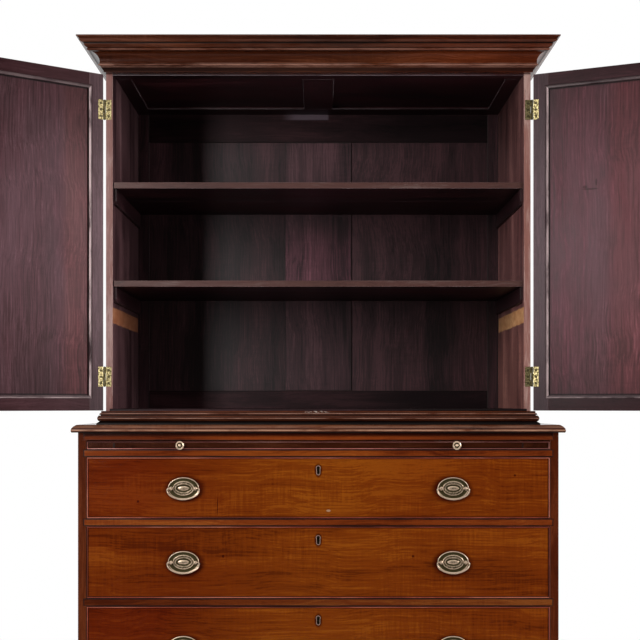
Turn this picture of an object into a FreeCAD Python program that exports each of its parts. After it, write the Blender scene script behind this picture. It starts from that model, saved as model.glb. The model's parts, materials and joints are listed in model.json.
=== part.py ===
"""A mahogany linen press: a shelved cupboard with a pair of doors, standing on a chest of three long drawers
with a brushing slide above them.

Millimetres. X runs to the right, Y to the back and Z up. The origin is on the floor, on the centre line,
half way between the front and the back of the chest. The doors are drawn as they stand at rest, wide open.
Each function makes the pieces of one sub-part, and every sub-part is written to parts/NODE.step.
"""
import FreeCAD, Part
import math
import os

V = FreeCAD.Vector
X_AXIS, Y_AXIS, Z_AXIS = V(1, 0, 0), V(0, 1, 0), V(0, 0, 1)
ORIGIN = V(0, 0, 0)

# Sides of the small round brasses, which repeat too often to be truly round
KNUCKLE_SIDES = 10
KNOB_SIDES = 14
PLATE_SIDES = 18
POST_SIDES = 8
ROD_SIDES = 8

# Overall sizes
PRESS_HEIGHT = 1841.0
CHEST_HALF_WIDTH = 624.0
CHEST_DEPTH = 570.0
CHEST_HEIGHT = 834.0
CASE_HALF_WIDTH = 561.0
CASE_SETBACK = 60.0

CHEST_FRONT = -CHEST_DEPTH / 2
BACK = CHEST_DEPTH / 2
CASE_FRONT = CHEST_FRONT + CASE_SETBACK

# The cupboard
CASE_SIDE = 18.0
CASE_INSIDE = CASE_HALF_WIDTH - CASE_SIDE
CASE_TOP = 1784.0
CUPBOARD_FLOOR = 875.0
BOARD = 18.0
CEILING = 1760.0
CEILING_FRAME = 20.0
LINTEL_DROP = 4.0
LINTEL_DEPTH = 60.0
CEILING_SIDE_RAIL = 40.0
CEILING_BACK_RAIL = 77.0
CEILING_MUNTIN = 84.0
BACK_FRAME = 16.0
BACK_FACE = BACK - BACK_FRAME
BACK_STILE = 33.0
BACK_MUNTIN = 200.0
BACK_TOP_RAIL = 84.0
BACK_BOTTOM_RAIL = 53.0
PANEL = 7.0
TONGUE = 8.0
SHELF_TOPS = (1214.5, 1474.6)
SHELF = 16.0
SHELF_SETBACK = 6.0
SHELF_FRONT_BOARD = 227.0
SHELF_SIDE_GAP = 1.5
BEARER_THICK = 8.0
BEARER_HEIGHT = 42.0
BEARER_SETBACK = 13.0
BEARER_CHAMFER = 9.0

# The doors
DOOR_THICK = 20.0
DOOR_GAP = 0.5
DOOR_BOTTOM = 870.5
DOOR_TOP = 1758.0
DOOR_MEETING_GAP = 2.0
DOOR_RAIL = 41.0
DOOR_BEAD = 9.0
DOOR_MOULDING = 15.0
MOULDING_LAP = 2.5
ASTRAGAL_WIDTH = 16.0
ASTRAGAL_EDGE = 1.5
ASTRAGAL_PROUD = 5.0
ASTRAGAL_SHORT = 0.5
LEFT_DOOR_OPEN = 143.0
RIGHT_DOOR_OPEN = 154.0
DOOR_BACK = CASE_FRONT - DOOR_GAP
DOOR_FRONT = DOOR_BACK - DOOR_THICK

# The butt hinges of the doors
HINGE_HEIGHTS = (960.0, 1665.0)
HINGE_LENGTH = 52.0
HINGE_LEAF = 14.5
LEAF_THICK = 1.6
KNUCKLE_RADIUS = 3.0
KNUCKLES = 3
KNUCKLE_GAP = 0.3
PIN_RADIUS = 1.4
PIN_SEAT = 0.02
PIN_CLEARANCE = 0.07
HINGE_OFFSET = 3.5
HINGE_AXIS_X = CASE_HALF_WIDTH + HINGE_OFFSET
HINGE_AXIS_Y = CASE_FRONT - DOOR_GAP / 2

# Cornice and waist moulding, which stand in front of the doors' faces
MOULDING_CORNER = CASE_FRONT - DOOR_THICK
CORNICE_HEIGHT = 82.0
CORNICE_RAIL = 24.0
WAIST_TOP = 869.5

# The chest
CHEST_SIDE = 22.0
CHEST_INSIDE = CHEST_HALF_WIDTH - CHEST_SIDE
CHEST_TOP_BOARD = 20.0
CHEST_UNDERSIDE = 125.0
CHEST_BOTTOM_BOARD = 20.0
CHEST_RAIL_DEPTH = 58.0
HOUSING = 8.0
RAILS = ((793.5, 814.0), (750.5, 769.5), (571.0, 590.0), (363.0, 383.0))
CHEST_FLOOR = 149.0
DUST_BOARD = 8.0
CHEST_BACK_BOARD = 12.0
BACK_BOARDS = 3
RUNNER_WIDTH = 26.0
RUNNER_SIDE = CHEST_INSIDE - RUNNER_WIDTH

# The brushing slide
SLIDE_BOTTOM, SLIDE_TOP = 770.2, 791.2
SLIDE_SIDE_GAP = 1.2
SLIDE_DEPTH = 470.0
SLIDE_FACE_RECESS = 1.6
SLIDE_CLAMP = 70.0
KNOB_X = 359.0
KNOB_RADIUS = 11.0
KNOB_LENGTH = 15.0
KNOB_TANG = 2.2

# The drawers
DRAWERS = ((590.0, 750.5), (383.0, 571.0), (CHEST_FLOOR, 363.0))
DRAWER_GAP = 1.0
DRAWER_FRONT = 22.0
DRAWER_SIDE = 10.0
DRAWER_BACK_Y = 255.0
DRAWER_BOTTOM = 6.0
DRAWER_BOTTOM_RISE = 9.0
DRAWER_SIDE_DROP = 4.0
DRAWER_BACK_DROP = 8.0
GROOVE = 5.0
TAIL_LENGTH = 11.0
TAIL_HALF = 13.0
TAIL_SPLAY = 3.0
TAIL_PITCH = 46.0
BOTTOM_MUNTIN = 60.0
COCK_BEAD = 3.4
COCK_BEAD_DEPTH = 9.0
COCK_BEAD_PROUD = 2.0
STOP = (44.0, 22.0, 6.0)
STOP_X = 300.0

# Handles, keyholes and locks
HANDLE_X = 350.0
HANDLE_RISES = (79.0, 94.5, 108.0)
PLATE_A, PLATE_B = 40.5, 28.5
PLATE_THICK = 1.2
PLATE_RIM_PROUD = 2.4
PLATE_DOME_PROUD = 2.8
PLATE_BOSS_PROUD = 4.4
# Where the plate's steps stand, as shares of its half width and half height
PLATE_RIM = 0.93
PLATE_DOME = 0.64
PLATE_BOSS = 0.33
POST_X = 31.5
POST_RADIUS = 4.4
POST_SHOULDER = 12.5
POST_LENGTH = 14.5
BAIL_STANDOFF = 9.5
BAIL_RADIUS = 2.2
BAIL_HALF = 41.5
BAIL_DROP = 30.0
BAIL_BEND = 3.5
BAIL_SHOULDER = 18.0
BAIL_PIN_RADIUS = 1.5
BAIL_PIN_CLEARANCE = 0.08
BAIL_PIN_END = 30.0
BAIL_NECK = 1.2
KEYHOLE_RISES = (125.5, 151.5, 177.0)
ESCUTCHEON = (13.0, 26.0, 2.2)
KEYHOLE_FOOT = 0.42
ESCUTCHEON_DEPTH = 4.0
ESCUTCHEON_PROUD = 0.4
LOCK = (72.0, 48.0, 11.0)
DOOR_LOCK = (30.0, 64.0, 11.0)
DOOR_LOCK_Z = 1310.0

# Base moulding and bracket feet
BASE_OUT = 14.0
FOOT_OUT = 9.0
FOOT_THICK = 20.0
FOOT_LENGTH = 165.0
FOOT_BLOCK = 46.0


# ---------------------------------------------------------------- helpers


def box(x0, x1, y0, y1, z0, z1):
    """A box between two values on each axis."""
    return Part.makeBox(x1 - x0, y1 - y0, z1 - z0, V(x0, y0, z0))


def pair(solid):
    """A solid and its mirror image across the centre line."""
    return [solid, solid.mirror(ORIGIN, X_AXIS)]


def both_sides(solids):
    """Several solids and their mirror images across the centre line."""
    return [copy for solid in solids for copy in pair(solid)]


def in_xz(u, v):
    return V(u, 0, v)


def in_yz(u, v):
    return V(0, u, v)


def in_xy(u, v):
    return V(u, v, 0)


def profile(points, place=in_xz):
    """A face from its corners (u, v) or (u, v, bow), where place turns (u, v) into a point in space.

    A bow bends the edge that follows: with the corners counter-clockwise, out by -bow or in by bow.
    """
    edges = []
    for start, end in zip(points, points[1:] + points[:1]):
        (u0, v0), (u1, v1) = start[:2], end[:2]
        if len(start) == 3:
            bow = start[2] / math.hypot(u1 - u0, v1 - v0)
            middle = place((u0 + u1) / 2 - (v1 - v0) * bow, (v0 + v1) / 2 + (u1 - u0) * bow)
            edges.append(Part.Arc(place(u0, v0), middle, place(u1, v1)).toShape())
        else:
            edges.append(Part.makeLine(place(u0, v0), place(u1, v1)))
    return Part.Face(Part.Wire(edges))


def plan(points, z0, z1):
    """An upright prism over a plan outline."""
    return profile(points, lambda x, y: V(x, y, z0)).extrude(V(0, 0, z1 - z0))


def mitred_run(points, half, corner, back, behind=0.0):
    """A moulding round the front and both sides, in three mitred lengths.

    points are the section: how far it stands out, and its height. The mitre starts at (half, corner), and the
    front length reaches back from there by behind.
    """
    reach = max(point[0] for point in points)
    low, high = min(point[1] for point in points), max(point[1] for point in points)
    side = profile(points, lambda out, z: V(half + out, corner - reach, z)).extrude(V(0, back - corner + reach, 0))
    side = side.common(
        plan([(half, corner), (half + reach, corner - reach), (half + reach, back), (half, back)], low, high)
    )
    deeper = [(point[0] if point[0] > 0 else -behind, *point[1:]) for point in points]
    front = profile(deeper, lambda out, z: V(-half - reach, corner - out, z)).extrude(V(2 * (half + reach), 0, 0))
    right = [(half + reach, corner - reach), (half, corner)]
    if behind:
        right.append((half, corner + behind))
    left = [(-x, y) for x, y in reversed(right)]
    return [front.common(plan(right + left, low, high))] + pair(side)


def mitred_frame(points, x0, x1, z0, z1):
    """Four mitred strips round a rectangle in the XZ plane. points are the section: how far in, and its Y."""
    strips = []
    for i, (x, z) in enumerate(((x0, z0), (x1, z0), (x1, z1), (x0, z1))):
        strip = mitred_strip(points, x1 - x0 if i % 2 == 0 else z1 - z0)
        strip.rotate(ORIGIN, Y_AXIS, -90 * i)
        strip.translate(V(x, 0, z))
        strips.append(strip)
    return strips


def mitred_strip(points, length):
    """One strip along X from the origin, mitred at both ends; its section rises in Z from its outer edge."""
    bar = profile(points, lambda inward, y: V(0, y, inward)).extrude(V(length, 0, 0))
    depth = max(point[0] for point in points)
    nearest = min(point[1] for point in points) - 1
    farthest = max(point[1] for point in points) + 1
    trapezium = profile(
        [(0, 0), (length, 0), (length - depth, depth), (depth, depth)], lambda x, z: V(x, nearest, z)
    )
    return bar.common(trapezium.extrude(V(0, farthest - nearest, 0)))


def round_points(a, b, sides, start=0.5):
    """Corners on an oval with half axes a and b; start is how many steps round the first one is."""
    turns = [2 * math.pi * (i + start) / sides for i in range(sides)]
    return [(a * math.cos(turn), b * math.sin(turn)) for turn in turns]


def prism(radius, sides, base, way, length):
    """A bar of regular section, radius from its axis to its flats, from base along way."""
    corner = radius / math.cos(math.pi / sides)
    return few_sided_bar(round_points(corner, corner, sides), base, way, length)


def few_sided_bar(points, base, way, length):
    """A bar from base along way, over an outline drawn square to it."""
    across = Y_AXIS if way == Z_AXIS else Z_AXIS
    other = way.cross(across)
    return profile(points, lambda u, v: base + across * u + other * v).extrude(way * length)


def skinned(rings):
    """A solid with flat faces over rings of corners, each joined to the next, and a cap at either end."""
    faces = [Part.Face(Part.makePolygon(ring + ring[:1])) for ring in (rings[0], rings[-1])]
    for ring, after in zip(rings, rings[1:]):
        for a, b, c, d in zip(ring, ring[1:] + ring[:1], after[1:] + after[:1], after):
            faces.append(Part.Face(Part.makePolygon([a, b, c, d, a])))
    solid = Part.Solid(Part.Shell(faces))
    if solid.Volume < 0:
        solid.reverse()
    return solid


def turned(sections, sides, centre, width=1.0, height=1.0):
    """A turned solid of few sides whose axis runs forward from centre, through (radius, how far forward).

    width and height stretch it into an oval.
    """
    return skinned(
        [
            [centre + V(x * width, -out, z * height) for x, z in round_points(radius, radius, sides)]
            for radius, out in sections
        ]
    )


def keyhole_outline(width, height):
    """The outline of a keyhole in the XZ plane: a round top over a narrower round foot."""
    top, foot = width / 2, width * KEYHOLE_FOOT
    top_z, foot_z = height / 2 - top, foot - height / 2
    neck = math.acos(foot / top)
    points = arc_points((0, foot_z), foot, math.pi, 2 * math.pi, 4)
    points += arc_points((0, top_z), top, -neck, math.pi + neck, 6)
    return profile(points)


def arc_points(centre, radius, start, end, steps):
    """Points along an arc between two angles in radians, both ends included."""
    turns = [start + (end - start) * i / steps for i in range(steps + 1)]
    return [(centre[0] + radius * math.cos(turn), centre[1] + radius * math.sin(turn)) for turn in turns]


def closed_to_open(solids, side, angle):
    """Turns a door's pieces about its hinge from closed to where they rest.

    side is 1 on the right and -1 on the left.
    """
    axis = V(side * HINGE_AXIS_X, HINGE_AXIS_Y, 0)
    for solid in solids:
        solid.rotate(axis, Z_AXIS, side * angle)
    return solids


# ---------------------------------------------------------------- the cupboard


def cupboard_sides():
    side = box(CASE_INSIDE, CASE_HALF_WIDTH, CASE_FRONT, BACK, CHEST_HEIGHT, CASE_TOP)
    floor = box(0, CASE_INSIDE + HOUSING, CASE_FRONT, BACK_FACE, CUPBOARD_FLOOR - BOARD, CUPBOARD_FLOOR)
    side = side.cut(floor)
    for z in HINGE_HEIGHTS:
        side = side.cut(leaf_recess(CASE_FRONT, CASE_FRONT + LEAF_THICK, z))
    return pair(side)


def cupboard_floor():
    half = CASE_INSIDE + HOUSING
    board = box(-half, half, CASE_FRONT, BACK_FACE, CUPBOARD_FLOOR - BOARD, CUPBOARD_FLOOR)
    plinth = box(-CASE_INSIDE, CASE_INSIDE, CASE_FRONT, CASE_FRONT + BOARD, CHEST_HEIGHT, CUPBOARD_FLOOR - BOARD)
    return [board, plinth]


def ceiling_openings():
    """The two openings of the ceiling frame, as (x0, x1, y0, y1) on the right."""
    return (
        CEILING_MUNTIN / 2,
        CASE_INSIDE - CEILING_SIDE_RAIL,
        CASE_FRONT + LINTEL_DEPTH,
        BACK_FACE - CEILING_BACK_RAIL,
    )


def ceiling_frame():
    x0, x1, y0, y1 = ceiling_openings()
    top = CEILING + CEILING_FRAME
    lintel = box(-CASE_INSIDE, CASE_INSIDE, CASE_FRONT, y0, CEILING, top)
    lintel = lintel.fuse(
        box(-CASE_INSIDE, CASE_INSIDE, CASE_FRONT, CASE_FRONT + BOARD, CEILING - LINTEL_DROP, CEILING)
    ).removeSplitter()
    back_rail = box(-CASE_INSIDE, CASE_INSIDE, y1, BACK_FACE, CEILING, top)
    muntin = box(-x0, x0, y0, y1, CEILING, top)
    rails = [lintel, back_rail, muntin] + pair(box(x1, CASE_INSIDE, y0, y1, CEILING, top))
    panels = ceiling_panels()
    return [rail.cut(panels) for rail in rails]


def ceiling_panels():
    x0, x1, y0, y1 = ceiling_openings()
    low = CEILING + (CEILING_FRAME - PANEL) / 2
    return pair(box(x0 - TONGUE, x1 + TONGUE, y0 - TONGUE, y1 + TONGUE, low, low + PANEL))


def back_openings():
    """The right-hand opening of the cupboard's back, as (x0, x1, z0, z1)."""
    return (
        BACK_MUNTIN / 2,
        CASE_INSIDE - BACK_STILE,
        CUPBOARD_FLOOR + BACK_BOTTOM_RAIL,
        CEILING - BACK_TOP_RAIL,
    )


def back_frame():
    x0, x1, z0, z1 = back_openings()
    low, high = CHEST_HEIGHT + 2, CASE_TOP - 2
    stiles = pair(box(x1, CASE_INSIDE, BACK_FACE, BACK, low, high))
    rails = [box(-x1, x1, BACK_FACE, BACK, low, z0), box(-x1, x1, BACK_FACE, BACK, z1, high)]
    muntin = box(-x0, x0, BACK_FACE, BACK, z0, z1)
    panels = back_panels()
    return [piece.cut(panels) for piece in stiles + rails + [muntin]]


def back_panels():
    x0, x1, z0, z1 = back_openings()
    front = BACK_FACE + (BACK_FRAME - PANEL) / 2
    return pair(box(x0 - TONGUE, x1 + TONGUE, front, front + PANEL, z0 - TONGUE, z1 + TONGUE))


def shelf(top):
    half = CASE_INSIDE - SHELF_SIDE_GAP
    front, joint = CASE_FRONT + SHELF_SETBACK, CASE_FRONT + SHELF_FRONT_BOARD
    return [
        box(-half, half, front, joint, top - SHELF, top),
        box(-half, half, joint, BACK_FACE - 1, top - SHELF, top),
    ]


def shelf_bearers():
    bearers = []
    front, end = CASE_FRONT + BEARER_SETBACK, BACK_FACE - 2
    for top in SHELF_TOPS:
        high = top - SHELF
        low = high - BEARER_HEIGHT
        cut = BEARER_CHAMFER
        outline = [(front + cut, low), (end, low), (end, high), (front, high), (front, low + cut)]
        bearer = profile(outline, in_yz).extrude(V(BEARER_THICK, 0, 0))
        bearer.translate(V(CASE_INSIDE - BEARER_THICK, 0, 0))
        bearers += pair(bearer)
    return bearers


def cornice_moulding():
    """From the top down: cyma, ovolo, bead, deep cove, bead and a small ogee over the doors."""
    top, low = PRESS_HEIGHT, PRESS_HEIGHT - CORNICE_HEIGHT
    section = [
        (0, top),
        (0, low),
        (2, low),
        (3, top - 78),
        (9, top - 70),
        (9, top - 68),
        (11, top - 67.5),
        (13.5, top - 66.3),
        (13.5, top - 63.7),
        (11, top - 62.5),
        (12, top - 61, 8.5),
        (34, top - 34),
        (36.5, top - 34),
        (39, top - 32),
        (39, top - 29),
        (36.5, top - 27.5),
        (40, top - 27),
        (44.5, top - 24),
        (47, top - 18),
        (47, top - 16.5),
        (50, top - 15.5, -1.7),
        (57, top - 9.5, 1.7),
        (64, top - 3.5),
        (64, top),
    ]
    return mitred_run(section, CASE_HALF_WIDTH, MOULDING_CORNER, BACK, DOOR_THICK)


def cornice_frame():
    """The rails that the cornice is glued to; the frame stands on the case and can be lifted off."""
    outer, inner = CASE_HALF_WIDTH, CASE_HALF_WIDTH - CORNICE_RAIL
    low, high = CASE_TOP, PRESS_HEIGHT - 3
    return [
        box(-outer, outer, CASE_FRONT, CASE_FRONT + CORNICE_RAIL, low, high),
        box(-outer, outer, BACK - CORNICE_RAIL, BACK, low, high),
    ] + pair(box(inner, outer, CASE_FRONT + CORNICE_RAIL, BACK - CORNICE_RAIL, low, high))


def waist_moulding():
    """A bead over a half round over a fillet, fixed to the chest round the foot of the cupboard."""
    top, low = WAIST_TOP, CHEST_HEIGHT
    section = [
        (0, top),
        (0, low),
        (19, low),
        (19, low + 3.5),
        (12, low + 8),
        (10.5, low + 9, -6.8),
        (10.5, low + 23.5),
        (9, low + 23.5),
        (9, low + 25.5),
        (11.5, low + 26.7),
        (11.5, low + 29.3),
        (9, low + 30.5),
        (8, low + 31),
        (8, top),
    ]
    return mitred_run(section, CASE_HALF_WIDTH, MOULDING_CORNER, BACK, DOOR_THICK)


# ---------------------------------------------------------------- the doors


def leaf_recess(y0, y1, z):
    """The sinking for one hinge leaf on the right-hand side."""
    half = HINGE_LENGTH / 2
    return box(CASE_HALF_WIDTH - HINGE_LEAF, CASE_HALF_WIDTH + 1, y0, y1, z - half, z + half)


def knuckle_spans(z, first):
    """The heights of every other knuckle of the hinge at z, starting with knuckle number first."""
    step = HINGE_LENGTH / KNUCKLES
    low = z - HINGE_LENGTH / 2
    return [
        (low + i * step + KNUCKLE_GAP / 2, low + (i + 1) * step - KNUCKLE_GAP / 2) for i in range(first, KNUCKLES, 2)
    ]


def hinge_leaf(y0, y1, z, first, bore):
    """One leaf of a right-hand hinge at height z, with its own knuckles on the hinge axis."""
    half = HINGE_LENGTH / 2
    leaf = box(CASE_HALF_WIDTH - HINGE_LEAF, CASE_HALF_WIDTH, y0, y1, z - half, z + half)
    for low, high in knuckle_spans(z, first):
        centre = V(HINGE_AXIS_X, HINGE_AXIS_Y, low)
        barrel = prism(KNUCKLE_RADIUS, KNUCKLE_SIDES, centre, Z_AXIS, high - low)
        neck = box(CASE_HALF_WIDTH - 1, HINGE_AXIS_X, y0, y1, low, high)
        leaf = leaf.fuse([barrel, neck]).cut(prism(bore, KNUCKLE_SIDES, centre, Z_AXIS, high - low))
    return leaf.removeSplitter()


def hinge_case_leaves():
    return both_sides(
        hinge_leaf(CASE_FRONT, CASE_FRONT + LEAF_THICK, z, 0, PIN_RADIUS + PIN_SEAT) for z in HINGE_HEIGHTS
    )


def hinge_pins():
    """The pins are held by the case leaves, and the doors' knuckles turn on them."""
    pins = []
    for z in HINGE_HEIGHTS:
        low = z - HINGE_LENGTH / 2 - 1
        section = round_points(PIN_RADIUS, PIN_RADIUS, KNUCKLE_SIDES, 0)
        pins += pair(few_sided_bar(section, V(HINGE_AXIS_X, HINGE_AXIS_Y, low), Z_AXIS, HINGE_LENGTH + 2))
    return pins


def door_hinge_leaves(side, angle):
    leaves = [
        hinge_leaf(DOOR_BACK - LEAF_THICK, DOOR_BACK, z, 1, PIN_RADIUS + PIN_CLEARANCE) for z in HINGE_HEIGHTS
    ]
    return hung(leaves, side, angle)


def hung(solids, side, angle):
    """Takes pieces of a closed right-hand door to the side they belong to, and opens them."""
    if side < 0:
        solids = [solid.mirror(ORIGIN, X_AXIS) for solid in solids]
    return closed_to_open(solids, side, angle)


def door_opening():
    """The opening of a closed right-hand door's frame, as (x0, x1, z0, z1)."""
    return (
        DOOR_MEETING_GAP / 2 + DOOR_RAIL,
        CASE_HALF_WIDTH - DOOR_RAIL,
        DOOR_BOTTOM + DOOR_RAIL,
        DOOR_TOP - DOOR_RAIL,
    )


def door_rebate():
    """The step round the inside of a closed right-hand door's opening, which the inside bead fills."""
    x0, x1, z0, z1 = door_opening()
    step = DOOR_BEAD
    return box(x0 - step, x1 + step, (DOOR_FRONT + DOOR_BACK + PANEL) / 2, DOOR_BACK, z0 - step, z1 + step)


def door_panel_solid():
    x0, x1, z0, z1 = door_opening()
    front = (DOOR_FRONT + DOOR_BACK - PANEL) / 2
    return box(x0 - TONGUE, x1 + TONGUE, front, front + PANEL, z0 - TONGUE, z1 + TONGUE)


def door_frame(side, angle):
    x0, x1, z0, z1 = door_opening()
    inner, outer = DOOR_MEETING_GAP / 2, CASE_HALF_WIDTH
    tenon = ((DOOR_FRONT + DOOR_BACK - PANEL) / 2, (DOOR_FRONT + DOOR_BACK + PANEL) / 2)
    tenon_length = DOOR_RAIL * 0.75
    rails = []
    for low, high in ((DOOR_BOTTOM, z0), (z1, DOOR_TOP)):
        rail = box(x0, x1, DOOR_FRONT, DOOR_BACK, low, high)
        edge = max(TONGUE, DOOR_BEAD) + 1
        tenon_low = low + (edge if low > DOOR_BOTTOM else 6)
        tenon_high = high - (6 if low > DOOR_BOTTOM else edge)
        rail = rail.fuse(box(x0 - tenon_length, x1 + tenon_length, *tenon, tenon_low, tenon_high))
        rails.append(rail.removeSplitter())
    stiles = [
        box(inner, x0, DOOR_FRONT, DOOR_BACK, DOOR_BOTTOM, DOOR_TOP).cut(rails),
        box(x1, outer, DOOR_FRONT, DOOR_BACK, DOOR_BOTTOM, DOOR_TOP).cut(rails),
    ]
    for z in HINGE_HEIGHTS:
        stiles[1] = stiles[1].cut(leaf_recess(DOOR_BACK - LEAF_THICK, DOOR_BACK, z))
    if side > 0:
        stiles[0] = stiles[0].cut(door_lock_solids() + [keyhole(door_keyhole_place(), DOOR_THICK)])
    sunk = [door_panel_solid(), door_rebate()]
    return hung([piece.cut(sunk) for piece in stiles + rails], side, angle)


def door_panel(side, angle):
    return hung([door_panel_solid()], side, angle)


def door_beads(side, angle):
    """A rounded bead that holds the panel in its rebate, and a wider moulding round the panel's face."""
    x0, x1, z0, z1 = door_opening()
    inside = (DOOR_FRONT + DOOR_BACK + PANEL) / 2
    face = (DOOR_FRONT + DOOR_BACK - PANEL) / 2
    bead = [
        (0, inside),
        (0, DOOR_BACK - 1.6),
        (1, DOOR_BACK - 1.6),
        (2.5, DOOR_BACK),
        (DOOR_BEAD - 2, DOOR_BACK),
        (DOOR_BEAD, DOOR_BACK - 2),
        (DOOR_BEAD, inside),
    ]
    moulding = [
        (0, face),
        (0, DOOR_FRONT),
        (-MOULDING_LAP, DOOR_FRONT),
        (-MOULDING_LAP, DOOR_FRONT - 0.8, -1.2),
        (3.5, DOOR_FRONT - 0.8),
        (3.5, DOOR_FRONT + 0.6),
        (9, DOOR_FRONT + 2.2),
        (DOOR_MOULDING - 3, face - 1),
        (DOOR_MOULDING - 3, face),
    ]
    step, lap = DOOR_BEAD, MOULDING_LAP
    lapped = [(point[0] + lap, *point[1:]) for point in moulding]
    strips = mitred_frame(bead, x0 - step, x1 + step, z0 - step, z1 + step)
    strips += mitred_frame(lapped, x0 - lap, x1 + lap, z0 - lap, z1 + lap)
    return hung(strips, side, angle)


def door_right_astragal():
    """The meeting bead, fixed to the right-hand door and lapping over the left."""
    clear = DOOR_FRONT - DOOR_GAP
    half, proud = ASTRAGAL_WIDTH / 2, clear - ASTRAGAL_EDGE
    middle = DOOR_MEETING_GAP / 2
    section = [
        (middle - half, proud, ASTRAGAL_EDGE - ASTRAGAL_PROUD),
        (middle + half, proud),
        (middle + half, DOOR_FRONT),
        (middle, DOOR_FRONT),
        (middle, clear),
        (middle - half, clear),
    ]
    bar = profile(section, in_xy).extrude(V(0, 0, DOOR_TOP - DOOR_BOTTOM - 2 * ASTRAGAL_SHORT))
    bar.translate(V(0, 0, DOOR_BOTTOM + ASTRAGAL_SHORT))
    return hung([bar], 1, RIGHT_DOOR_OPEN)


def door_keyhole_place():
    """The middle of the keyhole on the face of the closed right-hand door."""
    return V(DOOR_MEETING_GAP / 2 + DOOR_RAIL * 0.55, DOOR_FRONT, DOOR_LOCK_Z)


def door_lock_solids():
    """The lock of the closed right-hand door and its keyhole escutcheon."""
    width, height, depth = DOOR_LOCK
    x0 = DOOR_MEETING_GAP / 2
    case = box(x0, x0 + width, DOOR_BACK - depth, DOOR_BACK, DOOR_LOCK_Z - height / 2, DOOR_LOCK_Z + height / 2)
    return [case, escutcheon_ring(door_keyhole_place())]


def door_right_lock():
    return hung(door_lock_solids(), 1, RIGHT_DOOR_OPEN)


# ---------------------------------------------------------------- the chest


def chest_sides():
    side = box(CHEST_INSIDE, CHEST_HALF_WIDTH, CHEST_FRONT, BACK, CHEST_UNDERSIDE, CHEST_HEIGHT - CHEST_TOP_BOARD)
    return pair(side.cut(front_rails() + dust_boards() + chest_bottom()))


def chest_top():
    low = CHEST_HEIGHT - CHEST_TOP_BOARD
    return [box(-CHEST_HALF_WIDTH, CHEST_HALF_WIDTH, CHEST_FRONT, BACK, low, CHEST_HEIGHT)]


def chest_top_moulding():
    """The thumb-moulded edge of the chest's top."""
    top, low = CHEST_HEIGHT, CHEST_HEIGHT - CHEST_TOP_BOARD
    section = [(0, top), (0, low), (14, low), (15.5, low + 1.5), (16, low + 4.5, -2.6), (2.5, top)]
    return mitred_run(section, CHEST_HALF_WIDTH, CHEST_FRONT, BACK)


def front_rails():
    half = CHEST_INSIDE + HOUSING
    end = CHEST_FRONT + CHEST_RAIL_DEPTH
    return [box(-half, half, CHEST_FRONT, end, low, high) for low, high in RAILS]


def chest_bottom():
    half = CHEST_INSIDE + HOUSING
    return [box(-half, half, CHEST_FRONT, BACK - CHEST_BACK_BOARD, CHEST_FLOOR - CHEST_BOTTOM_BOARD, CHEST_FLOOR)]


def dust_boards():
    """Thin boards behind the three rails that carry a drawer or the slide."""
    half = CHEST_INSIDE + HOUSING
    boards = []
    for low, high in RAILS[1:]:
        middle = (low + high) / 2
        front, end = CHEST_FRONT + CHEST_RAIL_DEPTH, BACK - CHEST_BACK_BOARD
        boards.append(box(-half, half, front, end, middle - DUST_BOARD / 2, middle + DUST_BOARD / 2))
    return boards


def drawer_runners():
    """Strips over and under each dust board, level with the rails, that the drawers and the slide run on."""
    runners = []
    front, end = CHEST_FRONT + CHEST_RAIL_DEPTH, BACK - CHEST_BACK_BOARD
    for low, high in RAILS[1:]:
        middle = (low + high) / 2
        runners.append(box(RUNNER_SIDE, CHEST_INSIDE, front, end, middle + DUST_BOARD / 2, high))
        runners.append(box(RUNNER_SIDE, CHEST_INSIDE, front, end, low, middle - DUST_BOARD / 2))
    return both_sides(runners)


def drawer_stops():
    """Small blocks on the rails that the drawer fronts close against."""
    width, depth, height = STOP
    front = CHEST_FRONT + DRAWER_FRONT + 0.5
    return both_sides(
        box(STOP_X - width / 2, STOP_X + width / 2, front, front + depth, low, low + height) for low, _ in DRAWERS
    )


def chest_back():
    low, high = CHEST_UNDERSIDE, CHEST_HEIGHT - CHEST_TOP_BOARD
    step = (high - low) / BACK_BOARDS
    front = BACK - CHEST_BACK_BOARD
    return [
        box(-CHEST_INSIDE, CHEST_INSIDE, front, BACK, low + i * step + 0.5, low + (i + 1) * step - 0.5)
        for i in range(BACK_BOARDS)
    ]


def base_moulding():
    low, top = CHEST_UNDERSIDE, CHEST_FLOOR
    section = [
        (0, top),
        (0, low),
        (BASE_OUT, low),
        (BASE_OUT, low + 8),
        (BASE_OUT - 2, low + 9, -2.0),
        (6, low + 16),
        (2.5, top - 1.5),
        (2.5, top),
    ]
    return mitred_run(section, CHEST_HALF_WIDTH, CHEST_FRONT, BACK)


def bracket(length):
    """One bracket board in the XZ plane, standing at the origin and reaching along X, with a shaped lower edge."""
    top = CHEST_UNDERSIDE
    edge = [
        (0, 0),
        (60, 0),
        (64, 10, 5),
        (86, 46),
        (93, 46),
        (93, 50, 9),
        (136, 88),
        (length, 100),
        (length, top),
        (0, top),
    ]
    return profile(edge).extrude(V(0, FOOT_THICK, 0))


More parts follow.
